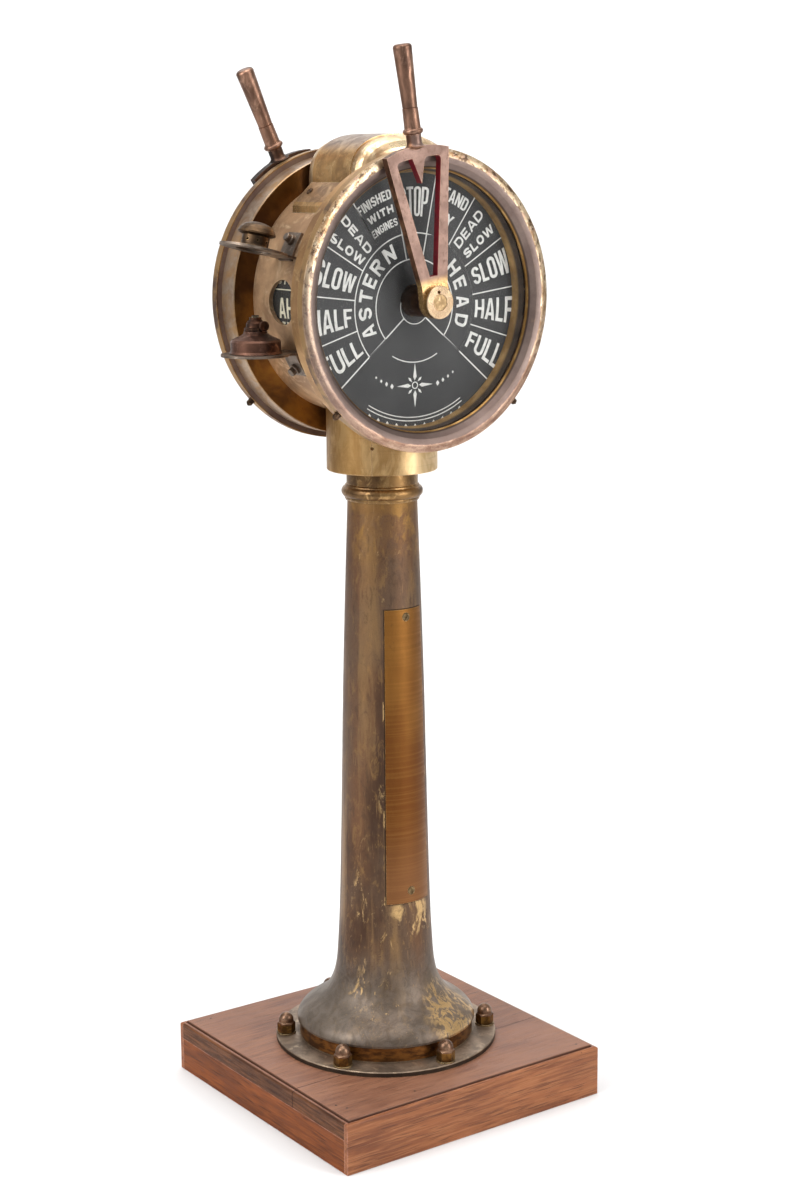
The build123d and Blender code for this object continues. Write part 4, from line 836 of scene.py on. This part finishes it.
def radial_word(text, th0, th1, R0, R1, t, left=False, gap=None):
    """A word that reads along a radius and grows outward: th0 is its top edge and th1 its foot."""
    Rm = (R0 + R1) / 2
    h = abs(th1 - th0) * pi / 180 * Rm
    loops = set_word(text, R1 - R0, h, t, gap)
    res = []
    for lp in loops:
        pts = []
        for x, y in dense(lp):
            R = R1 - x if left else R0 + x
            pts.append(polar(R, th1 + (th0 - th1) * y / h))
        res.append(pts)
    return res


def arc_word(text, th0, th1, R0, R1, t, gap=None):
    """A word along an arc, from th0 to th1, its feet at R0 and tops at R1."""
    Rm = (R0 + R1) / 2
    L = (th1 - th0) * pi / 180 * Rm
    res = []
    for lp in set_word(text, L, R1 - R0, t, gap):
        res.append([polar(R0 + y, th0 + (th1 - th0) * x / L) for x, y in dense(lp)])
    return res


def spaced_arc(text, centres, wdeg, R0, R1, t):
    """Single capitals at the given angles on an arc."""
    Rm = (R0 + R1) / 2
    res = []
    for ch, c in zip(text, centres):
        w = wdeg * WIDTH.get(ch, 1.0) * pi / 180 * Rm
        for lp in letter(ch, w, R1 - R0, t):
            res.append([polar(R0 + y, c + math.degrees((x - w / 2) / Rm)) for x, y in dense(lp)])
    return res


def straight_word(text, th, base, h, x0, x1, t, left=False):
    """A word on a straight line along the radius at th; base is how far its foot stands from that radius."""
    res = []
    d = Vector(polar(1, th))
    up = Vector((-d.y, d.x)) if not left else Vector((d.y, -d.x))
    for lp in set_word(text, x1 - x0, h, t, 0.8 * t):
        pts = []
        for x, y in dense(lp):
            R = x1 - x if left else x0 + x
            pts.append(tuple(d * R + up * (base + y)))
        res.append(pts)
    return res


def ring(R, w, a0=-180, a1=180):
    n = max(12, int(abs(a1 - a0) / 2.5))
    if a1 - a0 >= 359.9:
        return [[polar(R + w / 2, a0 + (a1 - a0) * i / n) for i in range(n)], [polar(R - w / 2, a0 + (a1 - a0) * i / n) for i in range(n)]]
    return [[polar(R + w / 2, a0 + (a1 - a0) * i / n) for i in range(n + 1)] + [polar(R - w / 2, a1 - (a1 - a0) * i / n) for i in range(n + 1)]]


def spoke(th, R0, R1, w):
    d = Vector(polar(1, th)); s = Vector((d.y, -d.x)) * w / 2
    return [[tuple(d * R0 + s), tuple(d * R1 + s), tuple(d * R1 - s), tuple(d * R0 - s)]]


def dial_print(mirror=False):
    """All the outlines of an order dial, in millimetres about the centre of the print."""
    S = []
    lw = 1.35
    B = [11.85 + 23.7 * k for k in range(6)]
    RI, RO, RE = 52.9, 81.4, 149.0
    a = B[5]
    S += ring(RO, lw, -a, a) + ring(RI, lw, -a, a)
    S += ring(19.4, 1.0, 0, 360)
    for sg in (-1, 1):
        S += spoke(sg * B[0], RI + lw / 2, RO - lw / 2, lw) + spoke(sg * B[0], RO + lw / 2, RE, lw)
        for b in B[1:5]:
            S += spoke(sg * b, RO + lw / 2, RE, lw)
        S += spoke(sg * a, 19.9, RI - lw / 2, lw + .2) + spoke(sg * a, RI - lw / 2, RO + lw / 2, lw + .2) + spoke(sg * a, RO + lw / 2, RE, lw + .2)
    S += arc_word("STOP", -9.6, 9.1, 99.5, 132.0, 2.9, 1.0)
    S += arc_word("FINISHED", -35.9, -14.4, 123.4, 134.0, 2.0, 1.0)
    S += arc_word("WITH", -33.4, -14.9, 108.4, 117.0, 2.2, 2.0)
    S += arc_word("ENGINES", -35.6, -13.8, 93.0, 101.6, 1.5, 0.85)
    S += arc_word("STAND", 14.5, 34.0, 124.0, 138.8, 2.4, 1.2)
    S += arc_word("BY", 17.6, 30.2, 98.5, 111.8, 2.6, 2.0)
    S += straight_word("DEAD", 44.0, -2.4, 11.6, 87.6, 138.6, 2.3)
    S += straight_word("SLOW", 52.4, -5.3, 10.6, 88.8, 139.0, 2.5)
    S += straight_word("DEAD", -43.8, -5.1, 9.9, 86.5, 138.0, 2.3, left=True)
    S += straight_word("SLOW", -55.7, -1.6, 10.4, 85.7, 138.0, 2.5, left=True)
    for th, tx, r0, r1 in ((64.0, "SLOW", 86.6, 141.0), (87.5, "HALF", 85.6, 140.0), (111.6, "FULL", 84.8, 138.0)):
        S += radial_word(tx, th, th + (12.3 if tx != "HALF" else 13.0), r0, r1, 3.6, gap=1.9)
    for th, tx, r0, r1 in ((-65.4, "SLOW", 85.8, 140.5), (-89.2, "HALF", 85.2, 140.5), (-112.4, "FULL", 84.8, 139.5)):
        S += radial_word(tx, th, th - (12.5 if tx != "FULL" else 12.2), r0, r1, 3.6, left=True, gap=1.9)
    S += spaced_arc("ASTERN", (-111.8, -94.4, -78.6, -64.0, -48.4, -30.0), 11.6, 58.8, 76.4, 3.4)
    S += spaced_arc("AHEAD", (35.6, 52.9, 69.4, 87.6, 105.6), 11.6, 58.8, 76.4, 3.4)
    # plain ornament in the lower sector: a compass star between curved rules
    cz = -88.0
    for k in range(8):
        L = (25.0, 13.0)[k % 2]
        wd = (4.6, 3.0)[k % 2]
        th = 45.0 * k
        d = Vector(polar(1, th)); s = Vector((d.y, -d.x))
        r0 = 5.6
        S.append([(d.x * r0 - s.x * .3, cz + d.y * r0 - s.y * .3), tuple(Vector((0, cz)) + d * (r0 + 4) + s * wd / 2), tuple(Vector((0, cz)) + d * L),
                  tuple(Vector((0, cz)) + d * (r0 + 4) - s * wd / 2)])
    S += [[(x, z + cz) for x, z in lp] for lp in ring(3.6, 1.2, 0, 360)]
    for R, sp in ((62.0, 30), (124.0, 31), (128.0, 31)):
        S += ring(R, 1.1, 180 - sp, 180 + sp)
    for k in range(-5, 6):
        c = Vector(polar(134.0, 180 + 5.6 * k))
        q = 2.7
        S.append([(c.x, c.y + q), (c.x + q * .75, c.y), (c.x, c.y - q), (c.x - q * .75, c.y)])
    for sg in (-1, 1):
        for k in range(4):
            c = Vector(polar(93.0, 180 + sg * (20 + 5.0 * k)))
            q = 3.2 - .5 * k
            S.append([(c.x, c.y + q), (c.x + q * .75, c.y), (c.x, c.y - q), (c.x - q * .75, c.y)])
    return S


def outline_mesh(name, loops, thick, place, mat):
    """Fills the outlines by even-odd, gives them a thickness and puts each point where place says."""
    cu = bpy.data.curves.new(name + "_cu", "CURVE")
    cu.dimensions = "2D"
    cu.fill_mode = "BOTH"
    cu.resolution_u = 1
    for lp in loops:
        sp = cu.splines.new("POLY")
        sp.points.add(len(lp) - 1)
        for p, (x, y) in zip(sp.points, lp):
            p.co = (x, y, 0, 1)
        sp.use_cyclic_u = True
    cu.extrude = thick / 2
    tmp = bpy.data.objects.new(name + "_tmp", cu)
    bpy.context.scene.collection.objects.link(tmp)
    bpy.context.view_layer.update()
    me = bpy.data.meshes.new_from_object(tmp.evaluated_get(bpy.context.evaluated_depsgraph_get()))
    bpy.data.objects.remove(tmp)
    bm = bmesh.new()
    bm.from_mesh(me)
    bmesh.ops.remove_doubles(bm, verts=bm.verts, dist=1e-4)
    for v in bm.verts:
        v.co = Vector(place(*v.co))
    bmesh.ops.recalc_face_normals(bm, faces=bm.faces)
    bm.to_mesh(me); bm.free()
    me.name = name
    me.materials.clear(); me.materials.append(mat)
    o = bpy.data.objects.new(name, me)
    bpy.context.scene.collection.objects.link(o)
    return o


PRINT_X, PRINT_Z = 1.5, 947.0
loops = dial_print()
f_print = outline_mesh("front_dial_print", loops, 0.16, lambda x, y, z: ((x + PRINT_X) * mm, (-63.06 + z) * mm, (y + PRINT_Z) * mm), M["print"])
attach(f_print, "stand")
b_print = outline_mesh("back_dial_print", loops, 0.16, lambda x, y, z: ((-x - PRINT_X) * mm, (63.06 + z) * mm, (y + PRINT_Z) * mm), M["print"])
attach(b_print, "stand")


# order letters that show through the side window, wrapped on the order drum
def order_print():
    """Outlines on the unrolled order drum: x along the axis toward the front, y up the rim from the window's middle."""
    out = []
    names = ("FULL", "HALF", "SLOW", "DEAD", "STAND", "STOP", "WITH", "DEAD", "SLOW", "HALF", "FULL")
    pitch = 128.1 * rad(23.7)
    for k in range(-5, 6):
        y0 = k * pitch
        x0 = -31.0
        out.append([(x0, y0 + 13.1), (31.0, y0 + 13.1), (31.0, y0 + 14.3), (x0, y0 + 14.3)])
        x = -15.8
        for ch in "AHE":
            for lp in letter(ch, 13.2 if ch != "E" else 11.0, 22.6, 3.3):
                out.append([(px + x, py + y0 - 18.0) for px, py in dense(lp, 2.0)])
            x += 15.8
        for lp in set_word(names[k + 5], 40.0, 11.5, 2.4, 2.0):
            out.append([(px - 20.0, py + y0 + 19.5) for px, py in dense(lp, 2.0)])
    return out


def on_order_drum(x, y, z):
    a = y / 128.1
    R = 128.06 + z
    return (-R * cos(a) * mm, -x * mm, (AX_Z + R * sin(a)) * mm)


o_print = outline_mesh("order_drum_print", order_print(), 0.16, on_order_drum, M["print_cream"])
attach(o_print, "lever_back")



# ------------------------------------------------------------------ floor, light, camera
def floor_material():
    g = G("studio_floor")
    n = g.noise(3, 3, 0.5)
    c = g.mix(n, (0.80, 0.80, 0.80, 1), (0.84, 0.84, 0.84, 1))
    return g.pbr(c, 0.7, 0.0, None, Specular_IOR_Level=0.2)


def stage_floor():
    me = bpy.data.meshes.new("studio_floor")
    bm = bmesh.new()
    prof = [(-4.0, 0.0), (2.2, 0.0), (2.8, 0.06), (3.3, 0.3), (3.6, 0.8), (3.7, 4.5)]
    F = Vector((sin(rad(35.754)), cos(rad(35.754)), 0)); R = Vector((F.y, -F.x, 0))
    rows = []
    for s in (-6.0, 6.0):
        rows.append([bm.verts.new(F * a + R * s + Vector((0, 0, z - 0.0004))) for a, z in prof])
    for i in range(len(prof) - 1):
        bm.faces.new((rows[0][i], rows[1][i], rows[1][i + 1], rows[0][i + 1]))
    bmesh.ops.recalc_face_normals(bm, faces=bm.faces)
    bm.to_mesh(me); bm.free()
    for p in me.polygons:
        p.use_smooth = True
    o = bpy.data.objects.new("studio_floor", me)
    me.materials.append(floor_material())
    bpy.context.scene.collection.objects.link(o)


stage_floor()


def area(name, loc, target, size, power, size_y=None, color=(1, 1, 1), spread=None):
    l = bpy.data.lights.new(name, "AREA")
    l.shape = "RECTANGLE" if size_y else "SQUARE"
    l.size = size
    if size_y:
        l.size_y = size_y
    l.energy = power
    l.color = color
    if spread:
        l.spread = spread
    o = bpy.data.objects.new(name, l)
    o.location = loc
    o.rotation_euler = (Vector(target) - Vector(loc)).to_track_quat("-Z", "Y").to_euler()
    bpy.context.scene.collection.objects.link(o)


Fh = Vector((sin(rad(35.754)), cos(rad(35.754)), 0)); Rh = Vector((Fh.y, -Fh.x, 0))
def at(right, back, up):
    """A point placed to the camera's right, behind the object from the camera, and up."""
    return Rh * right + Fh * back + Vector((0, 0, up))


area("key_left", at(-1.9, -1.3, 1.9), (0, 0, 0.7), 1.1, 48, 1.9)
area("fill_right", at(2.1, -1.2, 1.3), (0, 0, 0.7), 0.9, 34, 1.8)
area("top_soft", at(0.0, -0.2, 2.9), (0, 0, 0.6), 1.8, 40, 1.8)
area("back_wash", at(0.0, 2.2, 3.2), at(0.0, 3.6, 0.9), 3.5, 60, 1.2)

w = bpy.data.worlds.new("studio")
bpy.context.scene.world = w
w.use_nodes = True
wt = w.node_tree
bg = wt.nodes["Background"]
tc = wt.nodes.new("ShaderNodeTexCoord"); sp = wt.nodes.new("ShaderNodeSeparateXYZ")
mr = wt.nodes.new("ShaderNodeValToRGB")
wt.links.new(tc.outputs["Generated"], sp.inputs[0]); wt.links.new(sp.outputs[2], mr.inputs[0])
mr.color_ramp.elements[0].position = 0.0; mr.color_ramp.elements[0].color = (0.55, 0.55, 0.55, 1)
mr.color_ramp.elements[1].position = 0.9; mr.color_ramp.elements[1].color = (1, 1, 1, 1)
wt.links.new(mr.outputs[0], bg.inputs[0])
bg.inputs[1].default_value = 0.62

sc = bpy.context.scene
sc.view_settings.view_transform = "Standard"
sc.view_settings.look = "None"
sc.view_settings.exposure = 0.0

cam = bpy.data.cameras.new("camera")
cam.sensor_fit = "AUTO"; cam.sensor_width = 36.0
cam.lens = 65.03
cam.clip_start = 0.05; cam.clip_end = 50
yaw, pitch, roll = rad(35.754), rad(11.638), rad(-0.2993)
Fv = Vector((sin(yaw) * cos(pitch), cos(yaw) * cos(pitch), -sin(pitch)))
R0 = Vector((cos(yaw), -sin(yaw), 0)); U0 = R0.cross(Fv)
Rv = R0 * cos(roll) + U0 * sin(roll); Uv = -R0 * sin(roll) + U0 * cos(roll)
m = Matrix.Identity(4)
for i in range(3):
    m[i][0], m[i][1], m[i][2] = Rv[i], Uv[i], -Fv[i]
m.translation = Vector((-1.438354, -2.031821, 1.114566))
co = bpy.data.objects.new("camera", cam)
co.matrix_world = m
sc.collection.objects.link(co)
sc.camera = co
